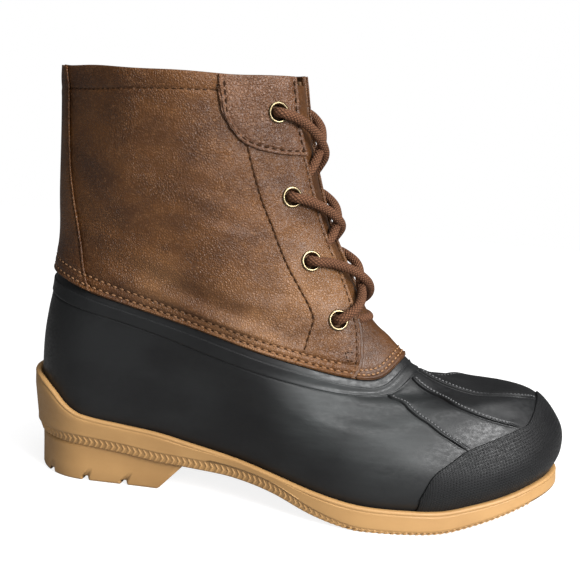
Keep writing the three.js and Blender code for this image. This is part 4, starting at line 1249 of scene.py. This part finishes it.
def chevron():
    """A chevron 1 mm tall whose point is at +X, raised towards Z."""
    bpy.ops.object.select_all(action="DESELECT")
    bpy.ops.mesh.primitive_grid_add(x_subdivisions=3, y_subdivisions=4, size=1)
    rib = bpy.context.object
    points = mesh_points(rib)
    points[:, 2] = np.where(np.abs(points[:, 0]) > 0.4, CHEVRON_SINK, CHEVRON_PROUD)
    points[:, 0] *= CHEVRON_WIDE
    points[:, 0] += CHEVRON_BEND * (0.5 - 2 * np.abs(points[:, 1]))
    move_points(rib, points)
    return rib


band_line = wall_ring(sole_taper * 0.8, (sole_low + sole_band) / 2)
band_up = wall_ring(sole_taper * 0.55, sole_band) - wall_ring(sole_taper, sole_low)
along = np.concatenate(([0], np.cumsum(np.linalg.norm(np.diff(band_line, axis=0), axis=-1))))
stops = np.arange(CHEVRON_PITCH / 2, along[-1], CHEVRON_PITCH)


def at_stops(values):
    return np.stack([np.interp(stops, along, values[:, k]) for k in range(3)], axis=-1)


rib_tall = at_stops(band_up)
rib_tangent = unit(at_stops(np.gradient(band_line, axis=0)))
rib_out = unit(np.cross(rib_tangent, rib_tall))
toward_toe = np.where(rib_tangent[:, :1] > 0, 1, -1)
rib_height = np.linalg.norm(rib_tall, axis=-1) * RIB_SHARE
rib_depth = np.clip(rib_height / RIB_BAND_HEIGHT, 0.35, 1)
rib_ways = (
    at_stops(band_line) + rib_tall * (1 - RIB_SHARE) / 2, rib_tangent * toward_toe,
    unit(rib_tall) * rib_height[:, None], rib_out * rib_depth[:, None],
)
rib_band = copy_along("rib_band", chevron(), *[way[rib_height > RIB_SHORTEST] for way in rib_ways])
settle(rib_band, "gum", gum)

# %% [markdown]
# The leather's height over the last is a sum of small reliefs: the eyestay's step, a groove under each row of
# stitches, the rolled lower edge, the padded collar, and soft folds that are listed one by one. Cloth
# simulation would make folds too, but not the ones that this boot has, and seams would be lost in it.

# %% Throat, eyelets and the reliefs of the leather
EYESTAY_STEP = 0.5
THROAT = np.array([
    (6.00, 41.0, 62.0), (6.30, 34.5, 58.0), (6.68, 28.0, 52.5), (6.85, 25.0, 49.5), (7.03, 23.0, 46.5),
    (7.25, 20.0, 46.5), (7.62, 17.2, 48.8), (8.05, 17.4, 50.0), (8.35, 17.5, 52.0), (8.68, 18.4, 53.5),
    (9.10, 21.0, 55.0), (9.35, 22.0, 55.5), (10.0, 21.5, 56.0),
])
EYELETS = ((9.47, 37.0), (8.40, 36.0), (7.68, 36.0), (7.00, 35.0))
PATCH_ANGLES = (17, 21, 34.5, 49.5, 57, 61.5, 63.5, 64.5)
PATCH_LEVELS = (8.89, 8.90, 8.90, 8.95, 9.05, 9.25, 9.45, 9.78)
PATCH_OUT = 1.7
PATCH_BACK = 64.5
STITCH_GROOVE = 0.32
LOWER_ROW = 2.6
UPPER_ROW = 7.0
COLLAR_STITCH_ANGLES = (-180, -129, -102, -85, -65)
COLLAR_STITCH_LEVELS = (9.60, 9.62, 9.70, 9.73, 9.75)
# Folds of the leather: level, angle, half length and half width in mm, slope, height in mm
FOLD_DEPTH = 1.45
FOLDS = (
    (6.60, -84, 36, 5.0, -0.10, 1.5), (6.93, -90, 38, 7.0, -0.12, -1.2), (7.35, -100, 30, 6.5, -0.05, 0.5),
    (6.50, -62, 16, 4.0, 0.25, -0.4), (7.10, -66, 14, 3.0, 0.10, 0.45), (7.28, -62, 13, 2.6, 0.08, -0.40),
    (7.95, -70, 13, 2.2, -0.18, 0.32), (8.10, -72, 14, 2.0, -0.20, -0.32), (8.27, -70, 13, 1.9, -0.20, 0.30),
    (8.45, -72, 15, 2.2, -0.22, -0.30), (8.62, -74, 14, 2.2, -0.24, 0.26), (9.10, -118, 22, 4.0, 0.12, -0.30),
    (8.60, -125, 20, 4.5, 0.22, 0.35), (7.70, -128, 18, 5.0, 0.10, -0.40), (6.75, -124, 16, 4.0, -0.12, 0.45),
    (7.95, -45, 8, 2.2, 0.45, -0.35), (8.05, -43, 7, 1.8, 0.45, 0.30), (7.35, -43, 8, 2.2, 0.35, -0.35),
    (6.62, -44, 9, 2.6, 0.30, 0.40), (6.78, -45, 9, 2.4, 0.30, -0.35), (9.2, -30, 6, 1.8, 0.6, -0.2),
    (6.70, 90, 34, 5.5, -0.10, 0.8), (7.05, 95, 36, 7.0, -0.10, -0.8), (7.60, 75, 20, 4.0, -0.15, 0.4),
    (8.30, 80, 22, 3.5, -0.15, -0.4), (8.75, 118, 20, 4.5, 0.15, 0.3),
)


def throat_edge(v):
    return curve(THROAT[:, 0], THROAT[:, 1], v)


def rear_stitch(v):
    return curve(THROAT[:, 0], THROAT[:, 2], v)


def ridge(distance, place, width, height):
    """A soft ridge or, with a negative height, a groove, across a distance in millimetres."""
    return height * np.exp(-(((distance - place) / width) ** 2))


def fold_relief(v, angle):
    """The sum of the soft folds."""
    height = np.zeros_like(v)
    for level, turn, long, wide, slope, tall in FOLDS:
        centre = math.radians(turn)
        off = (angle - centre + np.pi) % (2 * np.pi) - np.pi
        across = off * float(speed(np.array(level), np.array(centre)))
        up = (v - level) * float(rise(np.array(level), np.array(centre)))
        line = up - slope * across
        height += FOLD_DEPTH * tall * np.exp(-((across / long) ** 2) - (line / wide) ** 2)
    return height


def above_edge(v, angle):
    """Millimetres above the leather's lower edge."""
    level = np.full_like(v, LEATHER_EDGE + 0.1)
    return (v - LEATHER_EDGE) * rise(level, angle)


def collar_stitch_level(turn):
    """The level of the collar's row of stitches, by degrees from the toe."""
    return curve(COLLAR_STITCH_ANGLES, COLLAR_STITCH_LEVELS, -turn)


def leather_relief(v, angle):
    """Millimetres of the leather's surface over the last."""
    turn = np.abs(np.degrees((angle + np.pi) % (2 * np.pi) - np.pi))
    rear = rear_stitch(v)
    pace = speed(v, angle)
    front = np.radians(rear - turn) * pace
    from_edge = np.radians(turn - throat_edge(v)) * pace
    up = above_edge(v, angle)
    stay = np.clip(front / 0.6 + 0.5, 0, 1)
    out = EYESTAY_STEP * stay * np.clip((up - 7.5) / 2, 0, 1)
    out += ridge(front, -0.5, 0.45, -STITCH_GROOVE) + ridge(front, 1.5, 1.2, 0.22) * (up > 7)
    out += ridge(from_edge, 0.7, 0.6, 0.25) + ridge(from_edge, 2.0, 0.5, -STITCH_GROOVE)
    out += ridge(up, 0.7, 0.75, 0.75) + ridge(up, LOWER_ROW, 0.7, -0.45)
    out += ridge(up, (LOWER_ROW + UPPER_ROW) / 2, 1.3, 0.35) + ridge(up, UPPER_ROW, 0.7, -0.50)
    out += ridge(up, UPPER_ROW + 2.2, 1.6, 0.25)
    behind = turn > PATCH_BACK - 3
    top = (v - collar_stitch_level(turn)) * rise(np.full_like(v, 9.7), angle)
    out += behind * (ridge(top, 0, 0.6, -0.5) + ridge(top, 5.5, 4.5, 0.55) + ridge(top, -2.4, 1.8, 0.2))
    lower = np.clip((up - 3) / 6, 0, 1) * np.clip((COLLAR - v) / 0.3, 0, 1)
    return out + fold_relief(v, angle) * lower


def wavy(v, angle):
    """Levels near the collar, which lifts and dips a little round the leg."""
    wave = 0.011 * np.sin(3 * angle + 1) + 0.007 * np.sin(8 * angle)
    return v + wave * np.clip((v - 9.4) / 0.6, 0, 1)


# %% [markdown]
# The shaft is one sheet that goes from one edge of the throat round the back to the other. Its columns
# follow the throat and the rear row of stitches, and its rows are close where the edges roll. It gets
# a wall, and eight cylinders cut the holes for the eyelets.

# %% Shaft leather
LEATHER_WALL = 1.8
SHAFT_LOWEST = 5.965
HOLE_RADIUS = 4.0
HOLE_DEPTH = 12.0
EDGE_OFFSETS = (0, 0.35, 0.7, 1.05, 1.4, 1.7, 2.0, 2.3, 2.7, 3.2)
REAR_OFFSETS = (-3.0, -2.2, -1.6, -1.1, -0.8, -0.5, -0.2, 0.0, 0.25, 0.6, 1.1, 2.0)


def turned_round(offsets):
    return tuple(-offset for offset in offsets[::-1])


shaft_guides = [
    throat_edge, rear_stitch, lambda v: np.full_like(v, 180.0), lambda v: 360 - rear_stitch(v),
    lambda v: 360 - throat_edge(v),
]
shaft_columns = guided([
    (EDGE_OFFSETS, 14), (turned_round(REAR_OFFSETS), 66), ((0,), 66), (REAR_OFFSETS, 14),
    (turned_round(EDGE_OFFSETS), 0),
])
shaft_rows = np.concatenate((
    [SHAFT_LOWEST, 5.98], np.linspace(6.0, 6.36, 30), np.linspace(6.39, 9.5, 92),
    np.linspace(9.53, 9.95, 26), [9.965, 9.98, 9.99, 10.0],
))


def lay_shaft(column, row):
    v = shaft_rows[row]
    angle = guided_angle(shaft_guides, shaft_columns, column, np.maximum(v, LEATHER_EDGE))
    out = leather_relief(v, angle) - ridge(v, COLLAR, 0.02, 0.35) - ridge(v, SHAFT_LOWEST, 0.02, 0.3)
    return off_last(wavy(v, angle), angle, out)


def eyelet_seat(number):
    """How far off the last an eyelet sits: on the patch, or on the eyestay's step."""
    return PATCH_OUT if number == 0 else EYESTAY_STEP


def cutters_for_eyelets(side, numbers):
    """Cylinders through the leather, made to be taken away."""
    cutters = []
    for number in numbers:
        v, turn = EYELETS[number]
        angle = np.array(math.radians(turn) * side)
        centre = Vector(in_frame(off_last(np.array(v), angle, 0.0)))
        bpy.ops.mesh.primitive_cylinder_add(vertices=32, radius=HOLE_RADIUS * MM, depth=HOLE_DEPTH * MM)
        cutter = bpy.context.object
        normal = Vector(last_normal(np.array(v), angle))
        turned = normal.to_track_quat("Z", "Y").to_matrix().to_4x4()
        cutter.data.transform(Matrix.Translation(centre) @ turned)
        cutter.location = (0, 0, 0)
        cutters.append(cutter)
    return cutters


shaft = lay_grid("leather_shaft", len(shaft_columns[0]), len(shaft_rows), lay_shaft)
thicken(shaft, LEATHER_WALL)
cut_away(shaft, cutters_for_eyelets(-1, range(4)) + cutters_for_eyelets(1, range(4)))
settle(shaft, "leather", leather, "shaft")

# %% [markdown]
# A patch of thicker leather is sewn over the top of each eyestay, with a round lower corner. It is a grid
# between the throat, the collar and its curved lower edge. Its rim rolls down, with a groove for the
# stitches at an even distance from the rim, so that distance is measured for every point.

# %% Collar patches
PATCH_COLUMNS, PATCH_ROWS = 92, 72
PATCH_WALL = 0.9
PATCH_OVER_THROAT = 0.3


def patch_lower(angle_degrees):
    return curve(PATCH_ANGLES, PATCH_LEVELS, angle_degrees)


def patch_place(across, up):
    """Level and unsigned angle of a place on the patch, from shares of its width and height."""
    level = np.full_like(across, 9.5)
    for _ in range(6):
        front = throat_edge(level) - PATCH_OVER_THROAT
        turn = front + (PATCH_BACK - front) * across
        level = patch_lower(turn) + (COLLAR - 0.01 - patch_lower(turn)) * up
    return level, turn


rim_across = np.concatenate((np.zeros(60), np.linspace(0, 1, 200), np.ones(40)))
rim_up = np.concatenate((np.linspace(1, 0, 60), np.zeros(200), np.linspace(0, 1, 40)))


def lay_patch(side):
    rim_v, rim_turn = patch_place(rim_across, rim_up)
    rim = off_last(rim_v, np.radians(rim_turn) * side, np.full(len(rim_v), PATCH_OUT))

    def place(column, row):
        across = np.linspace(0, 1, PATCH_COLUMNS)[::side][column]
        v, turn = patch_place(across, np.linspace(0, 1, PATCH_ROWS)[row] ** 1.3)
        angle = np.radians(turn) * side
        flat = off_last(v, angle, np.full(len(v), PATCH_OUT))
        inward = np.min(np.linalg.norm(flat[:, None] - rim[None], axis=-1), axis=1)
        out = PATCH_OUT - 0.35 + ridge(inward, 0.7, 0.6, 0.55) + ridge(inward, 2.4, 0.55, -0.35)
        out += 0.35 * np.clip((inward - 2.6) / 3, 0, 1)
        pucker = np.sin(turn * 0.5 + v * 14) * np.exp(-(((inward - 6) / 5) ** 2)) * 0.12
        return off_last(wavy(v, angle), angle, out + pucker)

    return place


for side, label in ((-1, "lateral"), (1, "medial")):
    patch = lay_grid(f"patch_{label}", PATCH_COLUMNS, PATCH_ROWS, lay_patch(side))
    thicken(patch, PATCH_WALL)
    cut_away(patch, cutters_for_eyelets(side, (0,)))
    settle(patch, "leather", patch_leather, f"collar_patch_{label}")

# %% [markdown]
# The tongue lies under both eyestays, and its base shows in front, sewn down to the rubber with two tan
# rows. A table gives its half width and its distance off the last at several levels.

# %% Tongue
TONGUE_ROWS = np.array([
    (6.02, 39.0, -2.0), (6.30, 33.0, -2.0), (6.55, 29.0, -2.0), (6.65, 27.0, -2.4), (6.80, 24.0, -3.5),
    (6.95, 24.0, -4.2), (7.10, 32.0, -4.2), (7.50, 42.0, -4.2), (8.00, 44.0, -4.2), (9.30, 44.0, -4.2),
    (9.88, 42.0, -4.2),
])
TONGUE_WALL = 1.5
TONGUE_LOWEST = SHAFT_LOWEST
TONGUE_HIGHEST = 9.88
TONGUE_GRID = 90, 130


def lay_tongue(column, row):
    up = np.linspace(0, 1, TONGUE_GRID[1])[row] ** 1.25
    v = up * (TONGUE_HIGHEST - TONGUE_LOWEST) + TONGUE_LOWEST
    half = np.interp(v, TONGUE_ROWS[:, 0], TONGUE_ROWS[:, 1])
    angle = np.radians(half * np.linspace(-1, 1, TONGUE_GRID[0])[column])
    up = above_edge(v, angle)
    out = np.interp(v, TONGUE_ROWS[:, 0], TONGUE_ROWS[:, 2]) + TONGUE_WALL
    out += np.clip(1 - up / 14, 0, 1) * 0.5
    out += ridge(up, 0.7, 0.75, 0.75) + ridge(up, 2.4, 0.5, -0.3) + ridge(up, 5.0, 0.5, -0.3)
    return off_last(v, angle, out)


tongue = lay_grid("tongue_leather", *TONGUE_GRID, lay_tongue)
thicken(tongue, TONGUE_WALL)
settle(tongue, "tongue_leather", tongue_leather, "tongue")

# %% [markdown]
# Under the lower end of each eyestay the edge of a second layer shows, a narrow strip along the throat.

# %% Second layer under the lower end of each eyestay
UNDER_REACH = (-2.3, 4.0)
UNDER_OUT = -0.5
UNDER_WALL = 1.0
UNDER_HIGHEST = 7.0
UNDER_GRID = 14, 60


def lay_under(side):
    def place(column, row):
        v = np.linspace(TONGUE_LOWEST, UNDER_HIGHEST, UNDER_GRID[1])[row]
        edge = np.radians(throat_edge(np.maximum(v, LEATHER_EDGE)))
        across = np.linspace(*UNDER_REACH, UNDER_GRID[0])[::side][column]
        out = UNDER_OUT + ridge(across, -1.7, 0.6, 0.25)
        return off_last(v, side * (edge + across / speed(v, edge)), out)

    return place


for side, label in ((-1, "lateral"), (1, "medial")):
    under = lay_grid(f"under_stay_{label}", *UNDER_GRID, lay_under(side))
    thicken(under, UNDER_WALL)
    settle(under, "leather", tongue_leather)

# %% [markdown]
# A strip covers the seam at the back and widens to its foot. It follows the shaft's reliefs by half,
# because a second layer softens what lies under it.

# %% Back strip
# Level, half width in degrees
STRIP = np.array([
    (6.02, 47.0), (6.70, 43.0), (7.40, 40.5), (8.00, 37.5), (8.50, 34.0), (9.00, 32.5), (9.60, 32.5),
    (9.70, 32.5), (10.0, 29.0),
])
STRIP_BASE = 0.45
STRIP_THICKNESS = 0.8
STRIP_FOLLOW = 0.5
STRIP_COLUMNS = 80
strip_rows = np.concatenate((np.linspace(6.02, 6.36, 24), np.linspace(6.4, 9.99, 90)))


def strip_half(v):
    return curve(STRIP[:, 0], STRIP[:, 1], v)


def lay_strip(column, row):
    v = strip_rows[row]
    share = np.linspace(-1, 1, STRIP_COLUMNS)[column]
    share = np.sign(share) * np.abs(share) ** 0.75
    angle = np.pi + np.radians(share * strip_half(v))
    inward = np.radians((1 - np.abs(share)) * strip_half(v)) * speed(v, angle)
    out = STRIP_BASE + STRIP_THICKNESS - 0.3 + 0.3 * np.clip((inward - 2.4) / 2, 0, 1)
    out += ridge(inward, 0.7, 0.6, 0.5) + ridge(inward, 2.2, 0.5, -0.3)
    return off_last(wavy(v, angle), angle, out + leather_relief(v, angle) * STRIP_FOLLOW)


strip = lay_grid("back_strip_leather", STRIP_COLUMNS, len(strip_rows), lay_strip)
thicken(strip, STRIP_THICKNESS)
settle(strip, "leather", leather, "back_strip")

# %% [markdown]
# Inside, a cloth lining follows the leather's folds and a thin footbed lies in the rubber foot. The
# footbed is a closed grid like the sole: its rings run from the middle out and back over the top.

# %% Lining and footbed
LINING_OUT = -2.0
LINING_WALL = 0.5
LINING_FROM_EDGE = 0.03
LINING_FOLLOW = 0.8
LINING_GRID = 100, 50
FOOTBED_COLUMNS = 161
FOOTBED_INSET = INSOLE_INSET + 0.2
# From the middle of the underside round to the middle of the top: share of the width, lift
FOOTBED_RINGS = np.array([
    (0.0, 0.2), (0.4, 0.2), (0.8, 0.2), (0.97, 0.2), (1.0, 0.9), (1.0, 2.8), (0.97, 3.4), (0.8, 3.4),
    (0.4, 3.4), (0.0, 3.4),
])


def lay_lining(column, row):
    v = np.linspace(6.45, 9.93, LINING_GRID[1])[row]
    start = np.radians(throat_edge(v)) + LINING_FROM_EDGE
    angle = start + (2 * np.pi - 2 * start) * np.linspace(0, 1, LINING_GRID[0])[column]
    return off_last(v, angle, LINING_OUT + fold_relief(v, angle) * LINING_FOLLOW)


lining = lay_grid("lining", *LINING_GRID, lay_lining)
thicken(lining, LINING_WALL)
settle(lining, "leather", lining_cloth)


def lay_footbed(column, row):
    angle = np.linspace(0, 2 * np.pi, FOOTBED_COLUMNS)[column]
    drawn, lift = FOOTBED_RINGS[row].T
    ring = off_last(np.zeros(len(row)), angle, np.full(len(row), -FOOTBED_INSET))
    middle = TOE_SWING * curve(SWING_AT, SWING, ring[:, 0] / LENGTH)
    ring[:, 1] = middle + (ring[:, 1] - middle) * drawn
    ring[:, 2] = footbed(ring[:, 0]) + lift
    return ring


footbed_pad = lay_grid("footbed", FOOTBED_COLUMNS, len(FOOTBED_RINGS), lay_footbed, closed=True)
settle(footbed_pad, "footbed", footbed_cloth, "insole")

# %% [markdown]
# An eyelet is turned from a profile: a rounded rim on the leather and a barrel through it. Spin would
# do for one, but the eight stand at eight turns, so one function lays each with its own mesh.

# %% Eyelets
EYELET_PROFILE = (
    (3.55, -2.6), (3.9, -2.6), (3.9, -0.2), (5.35, -0.1), (5.5, 0.15), (5.4, 0.5), (5.1, 0.78), (4.7, 0.88),
    (4.3, 0.78), (3.95, 0.5), (3.7, 0.1), (3.6, -0.5), (3.55, -2.6),
)
EYELET_COLUMNS = 41


def lay_eyelet(number, side):
    v, turn = EYELETS[number]
    angle = np.array(math.radians(turn) * side)
    centre = off_last(np.array(v), angle, eyelet_seat(number))
    normal = last_normal(np.array(v), angle)
    first = unit(np.cross((0, 0, 1), normal))
    second = np.cross(normal, first)

    def place(column, row):
        around = np.linspace(0, 2 * np.pi, EYELET_COLUMNS)[column]
        radius, height = np.array(EYELET_PROFILE)[row].T
        ring = np.cos(around)[:, None] * first + np.sin(around)[:, None] * second
        return centre + ring * radius[:, None] + normal * height[:, None]

    return place


for side, label in ((-1, "lateral"), (1, "medial")):
    for number in range(len(EYELETS)):
        name = f"eyelet_{label}_{number + 1}"
        grid = EYELET_COLUMNS, len(EYELET_PROFILE)
        ring = lay_grid(f"brass_{name}", *grid, lay_eyelet(number, side), closed=True)
        settle(ring, "eyelet_brass", brass, name)

# %% [markdown]
# The lace is one round braid that runs through all eight eyelets. Its way is a list of places: level,
# angle as a share of the eyelets' angle, and distance off the last. It goes out of an eyelet, over
# the throat, under the other edge and out of the next eyelet, and the lowest crossing lies inside.

# %% Lace
LACE_RADIUS = 2.5
LACE_SIDES = 20
LACE_STEP = 0.7
OVER = 3.9
# The lace's way through an eyelet, from behind the leather: distances off the last
THROUGH = (-2.5, -0.4)
# One crossing: share of the way down, share across, distance off the last of the upper strand, the lower
CROSSING = (
    (0.00, 1.00, 1.6, 1.6), (0.02, 0.93, 3.6, 3.6), (0.08, 0.72, OVER, OVER), (0.22, 0.42, OVER, OVER),
    (0.40, 0.12, OVER, 2.4), (0.55, -0.16, 2.9, 0.5), (0.68, -0.40, -0.4, -0.9), (0.78, -0.62, -2.7, -2.7),
    (0.92, -0.90, -3.3, -3.3),
)
LAST_CROSSING = (
    (0.00, 1.00, 1.6, 1.6), (0.02, 0.93, 3.6, 3.6), (0.06, 0.70, OVER, OVER),
    (0.20, 0.36, OVER + 0.4, OVER), (0.42, 0.04, OVER + 0.9, 0.9), (0.62, -0.30, OVER, 1.4),
    (0.82, -0.66, OVER, OVER), (0.96, -0.93, 3.6, 3.6),
)
# Behind the leather from one lowest eyelet to the other: angle in degrees, distance off the last
HIDDEN_RUN = ((24.0, -3.4), (0.0, -3.4), (-24.0, -3.4))


def strand(number, side, last=False):
    """Places of the lace from one eyelet down to the next on the other side."""
    (top, top_turn), (low, low_turn) = EYELETS[number], EYELETS[number + 1]
    ride = PATCH_OUT - EYESTAY_STEP if number == 0 else 0
    places = [(top, side * top_turn, out) for out in THROUGH]
    for down, across, upper, lower in LAST_CROSSING if last else CROSSING:
        turn = top_turn + (low_turn - top_turn) * down
        out = (upper if side < 0 else lower) + ride * max(0, 1 - 3 * down)
        places.append((top + (low - top) * down, side * across * turn, out))
    if last:
        places += [(low, -side * low_turn, out) for out in (1.6, *THROUGH[::-1])]
    return places


def smooth_way(places):
    """A smooth line of even steps through places on the last."""
    v, turn, out = np.array(places).T
    points = off_last(v, np.radians(turn), out)
    gaps = np.concatenate(([0], np.cumsum(np.sqrt(np.linalg.norm(np.diff(points, axis=0), axis=-1)))))
    fine = np.linspace(0, gaps[-1], 60 * len(points))
    line = np.stack([curve(gaps, points[:, k], fine) for k in range(3)], axis=-1)
    along = np.concatenate(([0], np.cumsum(np.linalg.norm(np.diff(line, axis=0), axis=-1))))
    even = np.linspace(0, along[-1], int(along[-1] / LACE_STEP))
    return np.stack([np.interp(even, along, line[:, k]) for k in range(3)], axis=-1), along[-1]


first_half = strand(0, -1) + strand(1, 1) + strand(2, -1, last=True)
second_half = strand(0, 1) + strand(1, -1) + strand(2, 1, last=True)
hidden = [(EYELETS[-1][0], turn, out) for turn, out in HIDDEN_RUN]
lace_way, lace_length = smooth_way(first_half + hidden + second_half[::-1])


def tube(name, way, radius, sides):
    """A closed round tube along a line, turned as little as possible from step to step."""
    tangents = unit(np.gradient(way, axis=0))
    across = np.empty_like(way)
    across[0] = unit(np.cross(tangents[0], (0, 0, 1)))
    for k in range(1, len(way)):
        across[k] = unit(across[k - 1] - tangents[k] * np.dot(across[k - 1], tangents[k]))
    beside = np.cross(tangents, across)
    thick = np.ones(len(way))
    thick[:3] = (0.0, 0.75, 0.95)
    thick[-3:] = (0.95, 0.75, 0.0)

    def place(column, row):
        around = np.linspace(0, 2 * np.pi, sides + 1)[column]
        ring = np.cos(around)[:, None] * across[row] + np.sin(around)[:, None] * beside[row]
        return way[row] + ring * (radius * thick[row])[:, None]

    return lay_grid(name, sides + 1, len(way), place, closed=True)


lace = tube("lace", lace_way, LACE_RADIUS, LACE_SIDES)
settle(lace, "lace", lace_braid, "lace_crossing_1", "lace_crossing_2", "lace_crossing_3")
print("lace length in the eyelets, mm:", round(lace_length))

# %% [markdown]
# Stitches are small rounded threads, copied along a line that is sampled densely on the surface. One
# stitch has a few dozen faces. Each row lies in its groove, half sunk in the leather. A row painted by
# a material would look flat from the side, and its thread would cast no shadow.

# %% One stitch, and a row of it
EDGE_PITCH = 3.9


def stitch(length, width, tall):
    bpy.ops.object.select_all(action="DESELECT")
    bpy.ops.mesh.primitive_uv_sphere_add(segments=8, ring_count=5, radius=0.5)
    seed = bpy.context.object
    points = mesh_points(seed)[:, [2, 0, 1]]
    move_points(seed, points * np.array((length, width, tall)))
    return seed


def stitch_row(name, v, angle, out, pitch, finish, slot, share=0.66, width=0.9, tall=0.7, start=0.5):
    """A row of stitches along levels and angles, out by a number or an array of millimetres."""
    v, angle = np.broadcast_arrays(np.asarray(v, float), np.asarray(angle, float))
    points = off_last(v, angle, np.broadcast_to(out, v.shape))
    normals = last_normal(v, angle)
    along = np.concatenate(([0], np.cumsum(np.linalg.norm(np.diff(points, axis=0), axis=-1))))
    stops = np.arange(pitch * start, along[-1], pitch)
    places = np.stack([np.interp(stops, along, points[:, k]) for k in range(3)], axis=-1)
    outs = unit(np.stack([np.interp(stops, along, normals[:, k]) for k in range(3)], axis=-1))
    ways = np.stack([np.interp(stops, along, np.gradient(points[:, k])) for k in range(3)], axis=-1)
    ways = unit(ways - outs * np.sum(ways * outs, axis=-1, keepdims=True))
    row = copy_along(name, stitch(pitch * share, width, tall), places, ways, np.cross(outs, ways), outs)
    return settle(row, slot, finish)


def edge_level(angle, height):
    """The level that lies so many millimetres above the leather's lower edge."""
    return LEATHER_EDGE + height / rise(np.full_like(angle, LEATHER_EDGE + 0.1), angle)


# %% [markdown]
# Two rows run round the lower edge of the shaft, with small dark dots between their stitches that paint the
# shade in the needle holes, and two tan rows hold the tongue's base.

# %% Rows along the lower edge
round_back = np.radians(np.linspace(42, 318, 900))
for label, height in (("lower", LOWER_ROW), ("upper", UPPER_ROW)):
    level = edge_level(round_back, height)
    out = leather_relief(level, round_back) + 0.12
    out += np.where(np.abs(round_back - np.pi) < np.radians(strip_half(level)), STRIP_THICKNESS + 0.55, 0)
    stitch_row(
        f"edge_row_{label}", level, round_back, out, EDGE_PITCH, edge_thread, "leather",
        share=0.62, width=1.15, tall=0.9,
    )
    # dark dots for the needle holes: painted shade, since the holes are not cut
    stitch_row(
        f"edge_hole_shade_{label}", level, round_back, out - 0.05, EDGE_PITCH, dark_thread, "leather",
        share=0.38, width=1.2, tall=0.35, start=1.0,
    )

tongue_span = np.radians(np.linspace(-38, 38, 300))
for label, height in (("lower", 2.4), ("upper", 5.0)):
    level = edge_level(tongue_span, height)
    stitch_row(f"tongue_row_{label}", level, tongue_span, 0.05, 2.7, tan_thread, "tongue_leather", width=0.9)

# %% [markdown]
# Dark rows follow the eyestay's rear edge, the throat and the patch. A small box of stitches, the tack,
# takes the strain at the throat's foot. The same lines serve both sides, with the angle's sign turned.

# %% Rows of the eyestays, the patches and the tacks
for side, label in ((-1, "lateral"), (1, "medial")):
    level = np.linspace(6.40, 9.0, 500)
    angle = np.radians(rear_stitch(level))
    rear_out = leather_relief(level, angle * side) + 0.1
    stitch_row(f"rear_row_{label}", level, angle * side, rear_out, 4.1, dark_thread, "leather", width=0.85)
    level = np.linspace(6.30, 8.88, 500)
    angle = np.radians(throat_edge(level)) + 2.0 / speed(level, np.radians(throat_edge(level)))
    front_out = leather_relief(level, angle * side) + 0.12
    stitch_row(f"front_row_{label}", level, angle * side, front_out, 3.6, dark_thread, "leather", width=0.85)
    across = np.concatenate((np.zeros(60), np.linspace(0, 1, 240), np.ones(60)))
    up = np.concatenate((np.linspace(0.97, 0, 60), np.zeros(240), np.linspace(0, 0.97, 60)))
    inner_v, inner_turn = patch_place(np.clip(across, 0.055, 0.945), np.clip(up, 0.0, 1.0))
    inner_v = inner_v + np.where(up < 0.06, 2.4 / rise(inner_v, np.radians(inner_turn)), 0)
    stitch_row(
        f"patch_row_{label}", inner_v, np.radians(inner_turn) * side, PATCH_OUT - 0.2, 4.2, dark_thread,
        "leather", width=0.95,
    )

TACK_LEVELS = (6.52, 6.52, 6.37, 6.37)
TACK_TURNS = (34.5, 38.5, 39.5, 35.8)
tack_way = np.linspace(0, 3, 90)
tack_levels = np.interp(tack_way, range(4), TACK_LEVELS)
tack_turns = np.interp(tack_way, range(4), TACK_TURNS)
for side, label in ((-1, "lateral"), (1, "medial")):
    angle = np.radians(tack_turns) * side
    tack_out = leather_relief(tack_levels, angle) + 0.12
    stitch_row(f"tack_{label}", tack_levels, angle, tack_out, 2.0, dark_thread, "leather", width=0.8)

# %% [markdown]
# One row runs round the collar under its padded top, and one along each side of the back strip.

# %% Rows of the collar and the back strip
collar_angles = np.radians(np.linspace(PATCH_BACK + 1, 360 - PATCH_BACK - 1, 700))
collar_turn = np.abs(np.degrees((collar_angles + np.pi) % (2 * np.pi) - np.pi))
collar_levels = collar_stitch_level(collar_turn)
collar_out = leather_relief(collar_levels, collar_angles) + 0.12
stitch_row("collar_row", collar_levels, collar_angles, collar_out, 3.8, dark_thread, "leather", width=0.7)

strip_levels = np.linspace(6.4, 9.55, 500)
for side in (-1, 1):
    turn = np.radians(strip_half(strip_levels)) - 2.2 / speed(strip_levels, np.full(500, 2.4))
    angle = np.pi + side * turn
    strip_out = STRIP_BASE + STRIP_THICKNESS - 0.35 + leather_relief(strip_levels, angle) * STRIP_FOLLOW
    name = f"strip_row_{'lateral' if side > 0 else 'medial'}"
    stitch_row(name, strip_levels, angle, strip_out, 3.4, dark_thread, "leather", width=0.5, tall=0.4)

# %% [markdown]
# The moulded seams of the foot carry a row of stitches too, which in the rubber are small bumps. They are
# painted a paler grey than the rubber, a painted highlight where light catches them. They start above the toe
# bumper and stop under the top band.

# %% Stitches moulded in the rubber seams
for index, (line, side) in enumerate(seam_lines):
    level = np.linspace(2.5 if index in (0, len(seam_lines) - 1) else 2.62, 4.93, 500)
    start = np.radians(line(level))
    angle = start + side * 2.0 / speed(level, start)
    clear = level > cap_edge(angle) + 0.04
    level, angle = level[clear], angle[clear]
    seam_out = rubber_relief(level, angle) + 0.05
    stitch_row(f"seam_row_{index + 1}", level, angle, seam_out, 1.9, seam_stitch_highlight, "rubber", width=1.0)
